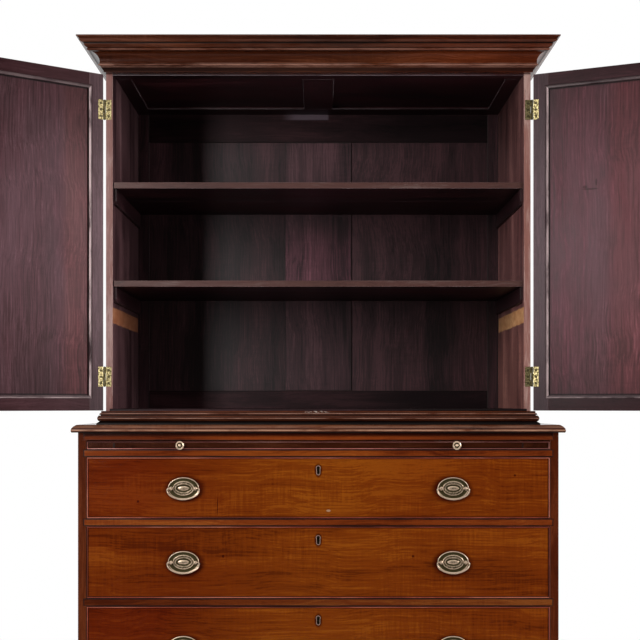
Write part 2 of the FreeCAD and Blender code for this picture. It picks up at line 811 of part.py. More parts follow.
def bracket_feet():
    """Two mitred brackets at each front corner; at each back corner one on the side and a plain one behind."""
    corner_x, corner_y = CHEST_HALF_WIDTH + FOOT_OUT, CHEST_FRONT - FOOT_OUT
    front = bracket(FOOT_LENGTH).mirror(ORIGIN, X_AXIS)
    front.translate(V(corner_x, corner_y, 0))
    side = bracket(FOOT_LENGTH)
    side.rotate(ORIGIN, Z_AXIS, 90)
    side.translate(V(corner_x, corner_y, 0))
    mitre = [(corner_x, corner_y), (corner_x - FOOT_THICK, corner_y + FOOT_THICK)]
    front = front.cut(plan(mitre + [(corner_x, corner_y + FOOT_THICK)], 0, CHEST_UNDERSIDE))
    side = side.cut(plan(mitre + [(corner_x - FOOT_THICK, corner_y)], 0, CHEST_UNDERSIDE))
    rear = bracket(FOOT_LENGTH)
    rear.rotate(ORIGIN, Z_AXIS, -90)
    rear.translate(V(corner_x - FOOT_THICK, BACK, 0))
    inner = corner_x - FOOT_THICK
    behind = profile([(inner, 0), (inner, CHEST_UNDERSIDE), (inner - 130, CHEST_UNDERSIDE), (inner - 70, 0)])
    behind.translate(V(0, BACK, 0))
    behind = behind.extrude(V(0, -FOOT_THICK, 0))
    return both_sides([front, side, rear, behind])


def foot_blocks():
    """Glue blocks inside the corners of the feet; they carry the chest."""
    outer = CHEST_HALF_WIDTH + FOOT_OUT - FOOT_THICK
    front = CHEST_FRONT - FOOT_OUT + FOOT_THICK
    rear = BACK - FOOT_THICK
    low = 1.0
    blocks = [
        box(outer - FOOT_BLOCK, outer, front, front + FOOT_BLOCK, low, CHEST_UNDERSIDE),
        box(outer - FOOT_BLOCK, outer, rear - FOOT_BLOCK, rear, low, CHEST_UNDERSIDE),
    ]
    return both_sides(blocks)


# ---------------------------------------------------------------- the brushing slide


def slide_bounds():
    half = CHEST_INSIDE - SLIDE_SIDE_GAP
    return half, CHEST_FRONT + SLIDE_FACE_RECESS


def slide_board():
    """The board with a clamp across each end of its grain."""
    half, face = slide_bounds()
    end = CHEST_FRONT + SLIDE_DEPTH
    low, high = SLIDE_BOTTOM, SLIDE_TOP
    core = box(-half + SLIDE_CLAMP, half - SLIDE_CLAMP, face, end, low, high)
    clamp = box(half - SLIDE_CLAMP, half, face, end, low, high)
    fittings = slide_beads() + slide_knobs()
    return [piece.cut(fittings) for piece in [core] + pair(clamp)]


def slide_beads():
    """Thin beads let in round the slide's front edge."""
    half, _ = slide_bounds()
    return mitred_frame(cock_bead_section(CHEST_FRONT), -half, half, SLIDE_BOTTOM, SLIDE_TOP)


def slide_knobs():
    """Small turned knobs with a raised ring round a dished face."""
    r = KNOB_RADIUS
    section = [
        (KNOB_TANG, -9),
        (KNOB_TANG, 0),
        (7, 0),
        (3.6, 3),
        (3.6, 7),
        (r, 10.5),
        (r, 12.5),
        (r - 2, KNOB_LENGTH),
        (r - 4.5, 12.5),
    ]
    _, face = slide_bounds()
    middle = (SLIDE_BOTTOM + SLIDE_TOP) / 2
    return [turned(section, KNOB_SIDES, V(x, face, middle)) for x in (-KNOB_X, KNOB_X)]


# ---------------------------------------------------------------- the drawers


def cock_bead_section(face):
    """A strip let into the edge of a front that stands at face, with a rounded nose in front of it."""
    quarter = COCK_BEAD / 4
    nose = face - COCK_BEAD_PROUD
    end = face + COCK_BEAD_DEPTH
    return [
        (0, nose + quarter),
        (quarter, nose),
        (COCK_BEAD - quarter, nose),
        (COCK_BEAD, nose + quarter),
        (COCK_BEAD, end),
        (0, end),
    ]


def drawer_limits(n):
    """The drawer's own half width, bottom and top."""
    low, high = DRAWERS[n]
    return CHEST_INSIDE - DRAWER_GAP, low + DRAWER_GAP, high - DRAWER_GAP


def drawer_side_solid(n):
    """The right-hand side, with dovetails at both ends."""
    half, low, high = drawer_limits(n)
    front, back = CHEST_FRONT + DRAWER_FRONT, DRAWER_BACK_Y - DRAWER_SIDE
    top = high - DRAWER_SIDE_DROP
    side = box(half - DRAWER_SIDE, half, front, back, low, top)
    count = int((top - low) // TAIL_PITCH)
    pitch = (top - low) / count
    tails = []
    for i in range(count):
        middle = low + (i + 0.5) * pitch
        for y, way, length in ((front, -1, TAIL_LENGTH), (back, 1, DRAWER_SIDE)):
            root, tip = TAIL_HALF, TAIL_HALF + TAIL_SPLAY
            end = y + way * length
            outline = [(y, middle - root), (end, middle - tip), (end, middle + tip), (y, middle + root)]
            tail = profile(outline, in_yz).extrude(V(DRAWER_SIDE, 0, 0))
            tail.translate(V(half - DRAWER_SIDE, 0, 0))
            tails.append(tail)
    side = side.fuse(tails).removeSplitter()
    return side.cut(drawer_bottom_boards(n))


def drawer_bottom_boards(n):
    half, low, _ = drawer_limits(n)
    z = low + DRAWER_BOTTOM_RISE
    edge = half - DRAWER_SIDE + GROOVE
    front = CHEST_FRONT + DRAWER_FRONT - GROOVE
    inner = BOTTOM_MUNTIN / 2 - TONGUE
    return pair(box(inner, edge, front, DRAWER_BACK_Y, z, z + DRAWER_BOTTOM))


def drawer_bottom(n):
    """Two boards in grooves, with a muntin between them."""
    _, low, _ = drawer_limits(n)
    z = low + DRAWER_BOTTOM_RISE
    boards = drawer_bottom_boards(n)
    muntin = box(
        -BOTTOM_MUNTIN / 2,
        BOTTOM_MUNTIN / 2,
        CHEST_FRONT + DRAWER_FRONT,
        DRAWER_BACK_Y - DRAWER_SIDE,
        z - 5,
        z + DRAWER_BOTTOM + 5,
    )
    return boards + [muntin.cut(boards)]


def drawer_carcass(n):
    """The two sides and the back."""
    half, low, high = drawer_limits(n)
    sides = pair(drawer_side_solid(n))
    back = box(
        -half,
        half,
        DRAWER_BACK_Y - DRAWER_SIDE,
        DRAWER_BACK_Y,
        low + DRAWER_BOTTOM_RISE + DRAWER_BOTTOM,
        high - DRAWER_BACK_DROP,
    )
    back = back.cut(sides)
    back = max(back.Solids, key=lambda solid: solid.Volume)
    return sides + [back]


def drawer_front(n):
    half, low, high = drawer_limits(n)
    end = CHEST_FRONT + DRAWER_FRONT
    front = box(-half, half, CHEST_FRONT, end, low, high)
    front = front.cut(drawer_cock_beads(n) + pair(drawer_side_solid(n)) + drawer_bottom_boards(n))
    front = front.cut([keyhole(keyhole_place(n), DRAWER_FRONT), escutcheon_ring(keyhole_place(n)), lock_case(n)])
    return [max(front.Solids, key=lambda solid: solid.Volume)]


def drawer_cock_beads(n):
    half, low, high = drawer_limits(n)
    return mitred_frame(cock_bead_section(CHEST_FRONT), -half, half, low, high)


def keyhole_place(n):
    return V(0, CHEST_FRONT, DRAWERS[n][0] + KEYHOLE_RISES[n])


def keyhole(place, depth):
    """The hole inside an escutcheon, to cut from the wood behind it."""
    width, height, wall = ESCUTCHEON
    hole = keyhole_outline(width - 2 * wall, height - 2 * wall).extrude(V(0, depth, 0))
    hole.translate(place)
    return hole


def escutcheon_ring(place):
    """A thin brass lining let in round a keyhole."""
    width, height, wall = ESCUTCHEON
    outer = keyhole_outline(width, height).extrude(V(0, ESCUTCHEON_DEPTH, 0))
    inner = keyhole_outline(width - 2 * wall, height - 2 * wall).extrude(V(0, ESCUTCHEON_DEPTH, 0))
    lining = outer.cut(inner)
    lining.translate(place + V(0, -ESCUTCHEON_PROUD, 0))
    return lining


def lock_case(n):
    width, height, depth = LOCK
    z = keyhole_place(n).z
    back = CHEST_FRONT + DRAWER_FRONT
    return box(-width / 2, width / 2, back - depth + 2, back + 2, z - height / 2, z + height / 2)


def handle_places(n):
    z = DRAWERS[n][0] + HANDLE_RISES[n]
    return [V(x, CHEST_FRONT, z) for x in (-HANDLE_X, HANDLE_X)]


def handle_plate(place):
    """An oval plate with a raised rim, and a raised oval in its middle with a smaller one on it."""
    section = [
        (1, 0),
        (1, PLATE_RIM_PROUD - 0.6),
        (0.98, PLATE_RIM_PROUD),
        (PLATE_RIM, PLATE_THICK),
        (PLATE_DOME, PLATE_THICK),
        (PLATE_DOME - 0.05, PLATE_DOME_PROUD),
        (PLATE_BOSS, PLATE_DOME_PROUD),
        (PLATE_BOSS - 0.05, PLATE_BOSS_PROUD),
    ]
    return turned(section, PLATE_SIDES, place, PLATE_A, PLATE_B)


def handle_post(place, side):
    """A post, riveted to the plate, that the bail turns in; the pivot hole enters from the outside."""
    section = [(POST_RADIUS, PLATE_THICK), (POST_RADIUS, POST_SHOULDER), (POST_RADIUS * 0.5, POST_LENGTH)]
    post = turned(section, POST_SIDES, place + V(side * POST_X, 0, 0))
    mouth = place + V(side * (BAIL_PIN_END - 0.5), -BAIL_STANDOFF, 0)
    hole = prism(BAIL_PIN_RADIUS + BAIL_PIN_CLEARANCE, ROD_SIDES, mouth, X_AXIS * side, 2 * POST_RADIUS)
    return post.cut(hole)


def drawer_brasses(n):
    """Handle plates and posts, the keyhole's escutcheon, and the lock behind it."""
    pieces = [escutcheon_ring(keyhole_place(n)), lock_case(n)]
    for place in handle_places(n):
        pieces += [handle_plate(place), handle_post(place, -1), handle_post(place, 1)]
    return pieces


def bail_spine():
    """The bent rod's centre line, in tangent arcs, as (x, z) from the middle between its pivots."""
    bend, shoulder, half = BAIL_BEND, BAIL_SHOULDER, BAIL_HALF
    depth, run = BAIL_DROP - bend, half - shoulder
    lift = (run**2 - (depth - shoulder) ** 2) / (2 * (depth - shoulder))
    sweep = math.atan2(run, lift)
    down = 1.5 * math.pi
    points = [(bend - half + BAIL_NECK, 0)]
    points += arc_points((bend - half, -bend), bend, math.pi / 2, math.pi, 2)
    points += arc_points((-run, -bend), shoulder, math.pi, down - sweep, 3)[1:]
    points += arc_points((0, lift - bend), depth + lift, down - sweep, down, 2)[1:]
    return points + [(-x, z) for x, z in reversed(points[:-1])]


def mitred_rod(points, radius, sides):
    """A rod of few sides along a bent centre line in the XZ plane, mitred at its bends."""
    ways = [(b - a).normalize() for a, b in zip(points, points[1:])]
    rings = []
    for point, before, after in zip(points, ways[:1] + ways, ways + ways[-1:]):
        along = (before + after).normalize()
        across = V(along.z, 0, -along.x) * (1 / along.dot(after))
        rings.append([point + across * u + Y_AXIS * v for u, v in round_points(radius, radius, sides)])
    return skinned(rings)


def bail(place):
    """A bail hanging on its pivots: a bent rod whose ends are turned in to thinner pins."""
    points = [V(x, 0, z) for x, z in bail_spine()]
    rod = mitred_rod(points, BAIL_RADIUS, ROD_SIDES)
    section = round_points(BAIL_PIN_RADIUS, BAIL_PIN_RADIUS, ROD_SIDES, 0)
    length = points[-1].x - BAIL_PIN_END
    pins = [few_sided_bar(section, V(x, 0, 0), X_AXIS, length) for x in (points[0].x, BAIL_PIN_END)]
    handle = rod.fuse(pins)
    handle.translate(place + V(0, -BAIL_STANDOFF, 0))
    return [handle]


# ---------------------------------------------------------------- the nodes


def nodes():
    made = {
        "cupboard_sides": cupboard_sides(),
        "cupboard_floor": cupboard_floor(),
        "ceiling_frame": ceiling_frame(),
        "ceiling_panels": ceiling_panels(),
        "back_frame": back_frame(),
        "back_panels": back_panels(),
        "shelf_lower": shelf(SHELF_TOPS[0]),
        "shelf_upper": shelf(SHELF_TOPS[1]),
        "shelf_bearers": shelf_bearers(),
        "cornice_moulding": cornice_moulding(),
        "cornice_frame": cornice_frame(),
        "waist_moulding": waist_moulding(),
        "hinge_case_leaves": hinge_case_leaves(),
        "hinge_pins": hinge_pins(),
        "chest_sides": chest_sides(),
        "chest_top": chest_top(),
        "chest_top_moulding": chest_top_moulding(),
        "front_rails": front_rails(),
        "chest_bottom": chest_bottom(),
        "dust_boards": dust_boards(),
        "drawer_runners": drawer_runners(),
        "drawer_stops": drawer_stops(),
        "chest_back": chest_back(),
        "base_moulding": base_moulding(),
        "bracket_feet": bracket_feet(),
        "foot_blocks": foot_blocks(),
        "slide_board": slide_board(),
        "slide_beads": slide_beads(),
        "slide_knobs": slide_knobs(),
        "door_right_astragal": door_right_astragal(),
        "door_right_lock": door_right_lock(),
    }
    for name, side, angle in (("left", -1, LEFT_DOOR_OPEN), ("right", 1, RIGHT_DOOR_OPEN)):
        made[f"door_{name}_frame"] = door_frame(side, angle)
        made[f"door_{name}_panel"] = door_panel(side, angle)
        made[f"door_{name}_beads"] = door_beads(side, angle)
        made[f"door_{name}_hinge_leaves"] = door_hinge_leaves(side, angle)
    for n, name in enumerate(("top", "middle", "bottom")):
        made[f"drawer_{name}_front"] = drawer_front(n)
        made[f"drawer_{name}_carcass"] = drawer_carcass(n)
        made[f"drawer_{name}_boards"] = drawer_bottom(n)
        made[f"drawer_{name}_cock_beads"] = drawer_cock_beads(n)
        made[f"drawer_{name}_brasses"] = drawer_brasses(n)
        for place, side in zip(handle_places(n), ("left", "right")):
            made[f"bail_{name}_{side}"] = bail(place)
    return made


def main():
    os.makedirs("parts", exist_ok=True)
    for name, solids in nodes().items():
        loose = [solid for shape in solids for solid in shape.Solids]
        assert loose and all(solid.isValid() for solid in loose), name
        shape = loose[0] if len(loose) == 1 else Part.makeCompound(loose)
        shape.exportStep(f"parts/{name}.step")


main()
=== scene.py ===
"""Dresses a mahogany linen press: eased boards, run mouldings, cast and turned brasses, and their finishes.

Metres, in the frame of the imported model: X to the right, Y to the back and Z up. Every wooden board is an eased
copy of its solid; mouldings, handles, knobs and keyhole linings are made again with their true curves.
"""
import json
import math
import random
from functools import partialmethod

import bmesh
import bpy
from bpy.props import FloatProperty, FloatVectorProperty, IntProperty, PointerProperty
from mathutils import Matrix, Vector


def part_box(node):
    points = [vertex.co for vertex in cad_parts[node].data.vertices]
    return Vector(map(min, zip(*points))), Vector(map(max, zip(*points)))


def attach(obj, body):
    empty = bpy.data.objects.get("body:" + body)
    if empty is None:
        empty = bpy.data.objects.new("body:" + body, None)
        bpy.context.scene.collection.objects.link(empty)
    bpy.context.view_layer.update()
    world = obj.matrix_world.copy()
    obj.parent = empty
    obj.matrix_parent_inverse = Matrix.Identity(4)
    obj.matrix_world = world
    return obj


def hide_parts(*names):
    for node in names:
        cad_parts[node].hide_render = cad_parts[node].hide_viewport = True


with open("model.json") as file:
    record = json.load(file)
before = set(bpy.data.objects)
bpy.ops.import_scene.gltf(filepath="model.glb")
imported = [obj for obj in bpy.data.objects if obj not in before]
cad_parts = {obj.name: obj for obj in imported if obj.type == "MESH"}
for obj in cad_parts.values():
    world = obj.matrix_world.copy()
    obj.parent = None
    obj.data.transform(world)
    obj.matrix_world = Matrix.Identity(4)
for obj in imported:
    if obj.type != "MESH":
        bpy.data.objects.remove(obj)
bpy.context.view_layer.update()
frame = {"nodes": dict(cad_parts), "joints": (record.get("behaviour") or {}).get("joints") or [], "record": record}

bl_info = {
    "name": "Linen Press",
    "version": (1, 0, 0),
    "blender": (4, 5, 0),
    "location": "View3D > Sidebar > Linen Press",
    "description": "Makes the finished pieces of a mahogany linen press",
    "category": "Add Mesh",
}

MM = 0.001

RECORD = frame["record"]
BODY_OF = {node: body for body, nodes in RECORD["behaviour"]["bodies"].items() for node in nodes}
JOINTS = {joint["name"]: joint for joint in frame["joints"]}
DRAWERS = ("top", "middle", "bottom")
SIDES = {"left": -1, "right": 1}

# How meshes are eased: short guards keep wear and painted highlights close to an arris, and only sharper turns are
# rounded
GUARD = 1.5 * MM
CORNER_TURN = math.radians(24)
FILLET_STEPS = 3
COPLANAR = math.radians(0.5)
BEVEL_TURN = math.radians(32)
SMOOTH_TURN = math.radians(50)
NO_EDGE = Vector((9, 9, 9))

# Where a board's finish changes
CUPBOARD_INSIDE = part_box("cupboard_floor")[1].x + 1 * MM
MUNTIN_FOOT, MUNTIN_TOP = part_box("back_panels")[0].z + 8 * MM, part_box("back_panels")[1].z - 8 * MM
MUNTIN_REACH = 90 * MM
FRIEZE_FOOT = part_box("slide_board")[1].z
DOOR_RAIL = 41 * MM
LEAF_FLAT = 300 * MM * MM

# The hinges' leaves and screws: how far the case leaves' inner edges are from the widest, how far a door's leaf
# stands back from its pin, how far apart the screws are, and how far their heads stand up
LEAF_WIDTH, LEAF_LENGTH = 14.5 * MM, 52 * MM
LEAF_SET_IN, LEAF_BACK = 21 * MM, 0.25 * MM
SCREW_PITCH, HEAD_HEIGHT, HEAD_SIDES, SCREW_SEED = 17 * MM, 0.4 * MM, 24, 7

# The handles' middles, posts and pins, the slide's knobs, and the keyholes
HANDLE_X, POST_X, POST_SIDES = 347 * MM, 31.5 * MM, 24
PIN_X, PIN_RADIUS, BAIL_SIDES = 30 * MM, 1.45 * MM, 16
KNOB_SIDES = 40
KEYHOLE_WIDTH, KEYHOLE_HEIGHT = 13 * MM, 26 * MM
LINING_WALL, LINING_DEPTH, LINING_PROUD = 2.2 * MM, 4 * MM, 0.4 * MM
LINING_TALLEST, LOCK_SHORTEST = 30 * MM, 45 * MM

FRONT_BEHIND = 20 * MM
STUDIO_DIM = (0.07, 0.064, 0.06)
WHITE = (1, 1, 1)

# Sections in mm: out, up, bow of what follows, and its tone, 1 where it is rubbed light and -1 where wax lies on it;
# on the wooden mouldings the tones also paint highlights on beads and arrises and shade in quirks
CORNICE = (
    (2, -82, 0, -0.3), (3, -78, 0, -0.7), (9, -70, 0, 0.2), (9, -68, 0, -0.5), (11, -67.5, 0, -0.6),
    (11.9, -67.3, -2.6, 0.9), (11.9, -62.7, 0, -0.8), (11, -62.5, 0, -0.8), (12, -61, 8.5), (34, -34, 0, -0.6),
    (36.5, -34, 0, -0.6), (37.4, -33.6, -2.8, 0.5), (37.4, -27.7, 0, -1), (36.5, -27.5, 0, -1), (40, -27, -1.5),
    (47, -18, 0, -1), (47, -16.5, 0, -1), (50, -15.5, -1.7), (57, -9.5, 1.7), (64, -3.5), (64, 0),
)
WAIST = (
    (19, 0, 0, -1), (19, 3.5, 0, -1), (12, 8, 0, -1), (10.5, 9, -1.6, -0.3), (15.6, 12.3, -0.3, -0.3),
    (16.9, 15.2, -0.1, 0.9), (16.9, 17.5, -0.3, -0.3), (15.6, 20.2, -1.6, -0.1), (10.5, 23.5, 0, -0.9),
    (9, 23.5, 0, -0.9), (9, 25.5, 0, -0.9), (10, 25.8, -1.6, -0.4), (11.3, 27.6, -0.6, 0.7), (10, 30.2, 0, -0.6),
    (9, 30.5, 0, -0.6), (8, 31, 0, -0.15), (8, 35.5),
)
TOP_EDGE = (
    (14, 0, 0, -0.8), (15.5, 1.5, 0, -0.55), (16, 4.5, -0.3, 0.9), (15.4, 8, -0.6, -0.2), (12.6, 12.8, -0.5, 0.4),
    (8, 17, -0.2, 0.2), (2.5, 20),
)
BASE = ((14, 0), (14, 8), (12, 9, -2.0), (6, 16), (2.5, 22.5), (2.5, 24))
KNOB = (
    (7, 0, 0, -1), (7, 0.8), (4, 2.6, 1.0, -1), (3.6, 6.5, 1.4), (9.5, 9.8), (11, 11.3, -0.6, 1), (10.2, 13.6, 0, 1),
    (8.6, 15.0, -0.4, 1), (7.2, 14.0, 0, -0.8), (5.6, 12.6, 0, -1), (4.4, 12.6, 0, 0.3), (3.6, 13.4, -0.5, 0.9),
    (0.3, 14.2),
)
POST = (
    (5.2, 1.0, 0, -0.6), (5.2, 2.6, 0, -0.9), (4.0, 3.4), (4.0, 5.6), (4.8, 6.6), (4.8, 11.6, -1.2, 0.1), (0.2, 14.5)
)
# An oval plate's raised rim, hollow, raised ring and long boss: half width, half height, how far out, and tone
PLATE = (
    (40.5, 28.5, 0.0, -0.8), (40.5, 28.5, 1.4, -0.3), (40.1, 28.1, 2.1, 0.8), (39.4, 27.4, 2.5, 1.0),
    (38.7, 26.7, 2.5, 0.6), (38.0, 26.0, 2.2, -0.6), (36.4, 24.4, 1.0, -1.0), (29.0, 20.4, 0.8, -1.0),
    (28.0, 19.4, 1.3, -0.8), (27.0, 18.4, 2.7, 0.2), (26.2, 17.6, 2.9, 0.4), (25.2, 16.4, 2.4, -0.3),
    (22.8, 13.6, 2.1, -0.5), (21.2, 11.8, 2.6, 0.1), (19.8, 10.2, 2.3, -0.3), (18.8, 9.2, 1.2, -1.0),
    (16.0, 6.9, 1.0, -1.0), (15.0, 5.8, 2.4, -0.3), (13.4, 4.9, 3.2, 0.3), (9.0, 3.4, 3.9, 0.05),
    (4.0, 1.6, 4.3, -0.2), (0.2, 0.1, 4.4, -0.2),
)
# A keyhole lining's rings, from outside to inside: share of its wall, how far back in mm, and tone
LINING = ((0.0, None, -1), (0.0, 0.3, -1), (0.4, 0.0, 0.6), (0.85, 0.0, 0.8), (1.0, 0.3, -0.3), (1.0, None, -0.3))
# How much of its rubbing and painted highlight each strip of a frame keeps, near its outer edge and elsewhere, from
# the bottom one round
EVEN = ((1.0, 1.0),) * 4
BEAD_RUBBING_AND_HIGHLIGHT = ((0.75, 0.1), (0.3, 1.0), (0.15, 0.15), (0.3, 1.0))
RUBBED_AND_HIGHLIT_WIDTH = 3.7 * MM


# ---------------------------------------------------------------- settings


def colour(name, description, default):
    return FloatVectorProperty(name=name, description=description, default=default, subtype="COLOR", size=3)


def length(name, description, default):
    return FloatProperty(name=name, description=description, default=default, unit="LENGTH")


class PressShapes(bpy.types.PropertyGroup):
    """Sizes that a user may change."""

    board_edge: length("Board edges", "How far the edges of boards are eased", 0.8 * MM)
    strip_edge: length("Strip edges", "How far thin strips and beads are eased", 0.45 * MM)
    brass_edge: length("Brass edges", "How far the edges of hinges and locks are eased", 0.25 * MM)
    moulding_edge: length("Moulding edges", "How far the arrises of mouldings are rounded", 0.5 * MM)
    screw_radius: length("Screw heads", "Radius of the hinge screws' heads", 3.5 * MM)
    screw_slot: length("Screw slots", "Width of the slot across a screw's head", 0.7 * MM)
    arc_steps: IntProperty(name="Curve steps", description="Facets in each curve of a moulding", default=10)
    round_sides: IntProperty(name="Round sides", description="Facets round a handle's plate", default=64)


class PressFinishes(bpy.types.PropertyGroup):
    """Colours that a user may change; the woods' tones are added below."""

    brass: colour("Brass", "Rubbed brass of the handles and knobs", (0.76, 0.56, 0.4))
    patina: colour("Patina", "Old brass in the hollows", (0.048, 0.036, 0.009))
    hinge_brass: colour("Hinge brass", "Brass of the hinges", (0.5, 0.41, 0.2))
    lining_brass: colour("Lining brass", "Dull brass of the keyhole linings", (0.34, 0.2, 0.16))


SHADES = ("dark", "middle", "light")
TONES = {
    "fronts": ("drawer fronts", (0.085, 0.014, 0.0014), (0.155, 0.029, 0.0018), (0.225, 0.055, 0.003)),
    "rails": ("rails", (0.07, 0.01, 0.0018), (0.15, 0.026, 0.0035), (0.24, 0.06, 0.008)),
    "case": ("case and mouldings", (0.024, 0.0045, 0.0015), (0.062, 0.0125, 0.0035), (0.115, 0.028, 0.009)),
    "beads": ("cock beads", (0.02, 0.004, 0.003), (0.055, 0.014, 0.01), (0.13, 0.05, 0.035)),
    "doors": ("doors", (0.042, 0.013, 0.015), (0.085, 0.034, 0.041), (0.15, 0.07, 0.084)),
    "inside": ("cupboard's inside", (0.012, 0.005, 0.006), (0.04, 0.019, 0.021), (0.085, 0.045, 0.047)),
    "edges": ("front edges inside", (0.09, 0.04, 0.035), (0.18, 0.07, 0.058), (0.3, 0.18, 0.16)),
    "bare": ("cupboard's outside back", (0.045, 0.022, 0.014), (0.105, 0.055, 0.035), (0.18, 0.105, 0.07)),
    "oak": ("hidden boards", (0.1, 0.055, 0.026), (0.24, 0.145, 0.075), (0.36, 0.24, 0.135)),
}
for wood, (where, *tones) in TONES.items():
    for shade, tone in zip(SHADES, tones):
        label, description = f"{wood.capitalize()}, {shade}", f"{shade.capitalize()} tone of the {where}"
        PressFinishes.__annotations__[f"{wood}_{shade}"] = colour(label, description, tone)


class PressStage(bpy.types.PropertyGroup):
    """The camera and the floor."""

    distance: length("Distance", "From the camera to the middle of the press", 3.705)
    height: length("Height", "Height of the camera", 0.89)
    lens: FloatProperty(name="Lens", description="Focal length in millimetres", default=74.1)
    shift: FloatVectorProperty(
        name="Shift", description="Sideways and upward shift of the lens", default=(0.0027, 0.13), size=2
    )
    floor: colour("Floor", "The floor's colour", (0.8, 0.8, 0.8))


# ---------------------------------------------------------------- meshes from the solids


def bounds(points):
    """The lowest and highest corners of a box round some points."""
    return [Vector(pick(point[i] for point in points) for i in range(3)) for pick in (min, max)]


def solids_of(node):
    """The triangles, as corner indices, and the lowest and highest corners of each solid, and all the corners.

    The solids follow one another, so one ends where every edge has met its other side.
    """
    mesh = frame["nodes"][node].data
    corners = [corner.co.copy() for corner in mesh.vertices]
    keys = [tuple(round(value, 6) for value in corner) for corner in corners]
    found, current, waiting = [], [], set()
    for face in mesh.polygons:
        indices = list(face.vertices)
        current.append(indices)
        for a, b in zip(indices, indices[1:] + indices[:1]):
            if (keys[b], keys[a]) in waiting:
                waiting.remove((keys[b], keys[a]))
            else:
                waiting.add((keys[a], keys[b]))
        if not waiting:
            found.append((current, *bounds([corners[index] for triangle in current for index in triangle])))
            current = []
    return found, corners


def eased_solid(triangles, corners, width):
    """One solid with its flat faces whole again and its edges rounded."""
    solid = bmesh.new()
    used = sorted({index for triangle in triangles for index in triangle})
    new = {index: solid.verts.new(corners[index]) for index in used}
    for triangle in triangles:
        solid.faces.new([new[index] for index in triangle])
    bmesh.ops.remove_doubles(solid, verts=solid.verts, dist=2e-6)
    bmesh.ops.dissolve_limit(solid, angle_limit=COPLANAR, verts=solid.verts, edges=solid.edges)
    sharp = [edge for edge in solid.edges if edge.is_manifold and edge.calc_face_angle(0) > BEVEL_TURN]
    bmesh.ops.bevel(solid, geom=sharp, offset=width, segments=2, profile=0.5, affect="EDGES", clamp_overlap=True)
    return solid


def own_axes(solid):
    """The directions of a board's own three sides: across its widest face, and along its other sides."""
    widest = max(solid.faces, key=lambda face: face.calc_area()).normal
    if abs(widest.z) > 0.7:
        return Vector((1, 0, 0)), Vector((0, 1, 0)), Vector((0, 0, 1))
    flat = Vector((widest.x, widest.y, 0)).normalized()
    return Vector((-flat.y, flat.x, 0)), flat, Vector((0, 0, 1))


def board_frame(solid):
    """A board's middle, its directions sorted from the longest to the thinnest, and its half sizes."""
    spans = []
    for axis in own_axes(solid):
        reach = [corner.co.dot(axis) for corner in solid.verts]
        spans.append((max(reach) - min(reach), (max(reach) + min(reach)) / 2, axis))
    spans.sort(key=lambda span: -span[0])
    middle = sum((axis * at for _, at, axis in spans), Vector())
    return middle, [axis for _, _, axis in spans], Vector([size / 2 for size, _, _ in spans])


def place_seed(name, middle):
    """A number from 0 to 1 that depends on a board's name and where it is."""
    cell = [int(math.floor((value + 0.000137) / 0.004)) for value in middle]
    return random.Random(f"{name} {cell}").random()


ATTRIBUTES = {"place": "FLOAT_VECTOR", "half": "FLOAT_VECTOR", "seed": "FLOAT", "relief": "FLOAT"}


class Piece:
    """A mesh that grows from several parts, with the values that its finish reads at each corner.

    place is a corner's position along, across and through its own board, from the board's middle; half is the
    board's half size; seed tells boards apart; relief is 1 on an arris, -1 in a quirk and 0 on a flat.
    """

    def __init__(self, name):
        self.name = name
        self.corners, self.faces, self.finishes = [], [], []
        self.values = {key: [] for key in ATTRIBUTES}

    def add(self, corners, faces, place=None, half=NO_EDGE, seed=0.0, relief=None, finish=0):
        start, count = len(self.corners), len(corners)
        self.corners += [tuple(corner) for corner in corners]
        self.faces += [tuple(start + index for index in face) for face in faces]
        self.finishes += [finish] * len(faces) if isinstance(finish, int) else list(finish)
        self.values["place"] += [number for corner in (place or corners) for number in corner]
        self.values["half"] += [*half] * count
        self.values["seed"] += [seed] * count
        self.values["relief"] += list(relief) if relief else [0.0] * count

    def add_solid(self, solid, choose=None):
        """Adds a board from a bmesh, with its own frame, and with the finish that choose gives each face."""
        middle, axes, half = board_frame(solid)
        solid.verts.index_update()
        corners = [corner.co.copy() for corner in solid.verts]
        place = [[(corner - middle).dot(axis) for axis in axes] for corner in corners]
        faces = [[corner.index for corner in face.verts] for face in solid.faces]
        finish = [choose(face) for face in solid.faces] if choose else 0
        self.add(corners, faces, place, half, place_seed(self.name, middle), None, finish)
        solid.free()

    def add_rings(self, rings, relief, seed, closed=False):
        """Adds a skin over rings of corners, capped at its ends or, where it is closed, joined from last to first."""
        count = len(rings[0])
        corners = [corner for ring in rings for corner in ring]
        faces = []
        for i in range(len(rings) if closed else len(rings) - 1):
            here, after = i * count, (i + 1) % len(rings) * count
            for j in range(count):
                k = (j + 1) % count
                faces.append((here + j, here + k, after + k, after + j))
        if not closed:
            faces += [tuple(reversed(range(count))), tuple(range(len(corners) - count, len(corners)))]
        self.add(corners, outward(corners, faces), seed=seed, relief=[worn for worn in relief for _ in range(count)])

    def make(self, finishes, weighted=True):
        """The finished mesh object, with its normals weighted by face area."""
        mesh = bpy.data.meshes.new(self.name)
        mesh.from_pydata(self.corners, [], self.faces)
        for key, kind in ATTRIBUTES.items():
            layer = mesh.attributes.new(key, kind, "POINT")
            layer.data.foreach_set("vector" if kind == "FLOAT_VECTOR" else "value", self.values[key])
        for name in finishes:
            mesh.materials.append(finish(name))
        mesh.polygons.foreach_set("material_index", self.finishes)
        mesh.polygons.foreach_set("use_smooth", [True] * len(mesh.polygons))
        mesh.set_sharp_from_angle(angle=SMOOTH_TURN)
        thing = new_object(self.name, mesh)
        if weighted:
            thing.modifiers.new("Weighted normals", "WEIGHTED_NORMAL").keep_sharp = True
            apply_modifiers(thing)
        return thing


def new_object(name, data):
    thing = bpy.data.objects.new(name, data)
    bpy.context.scene.collection.objects.link(thing)
    return thing


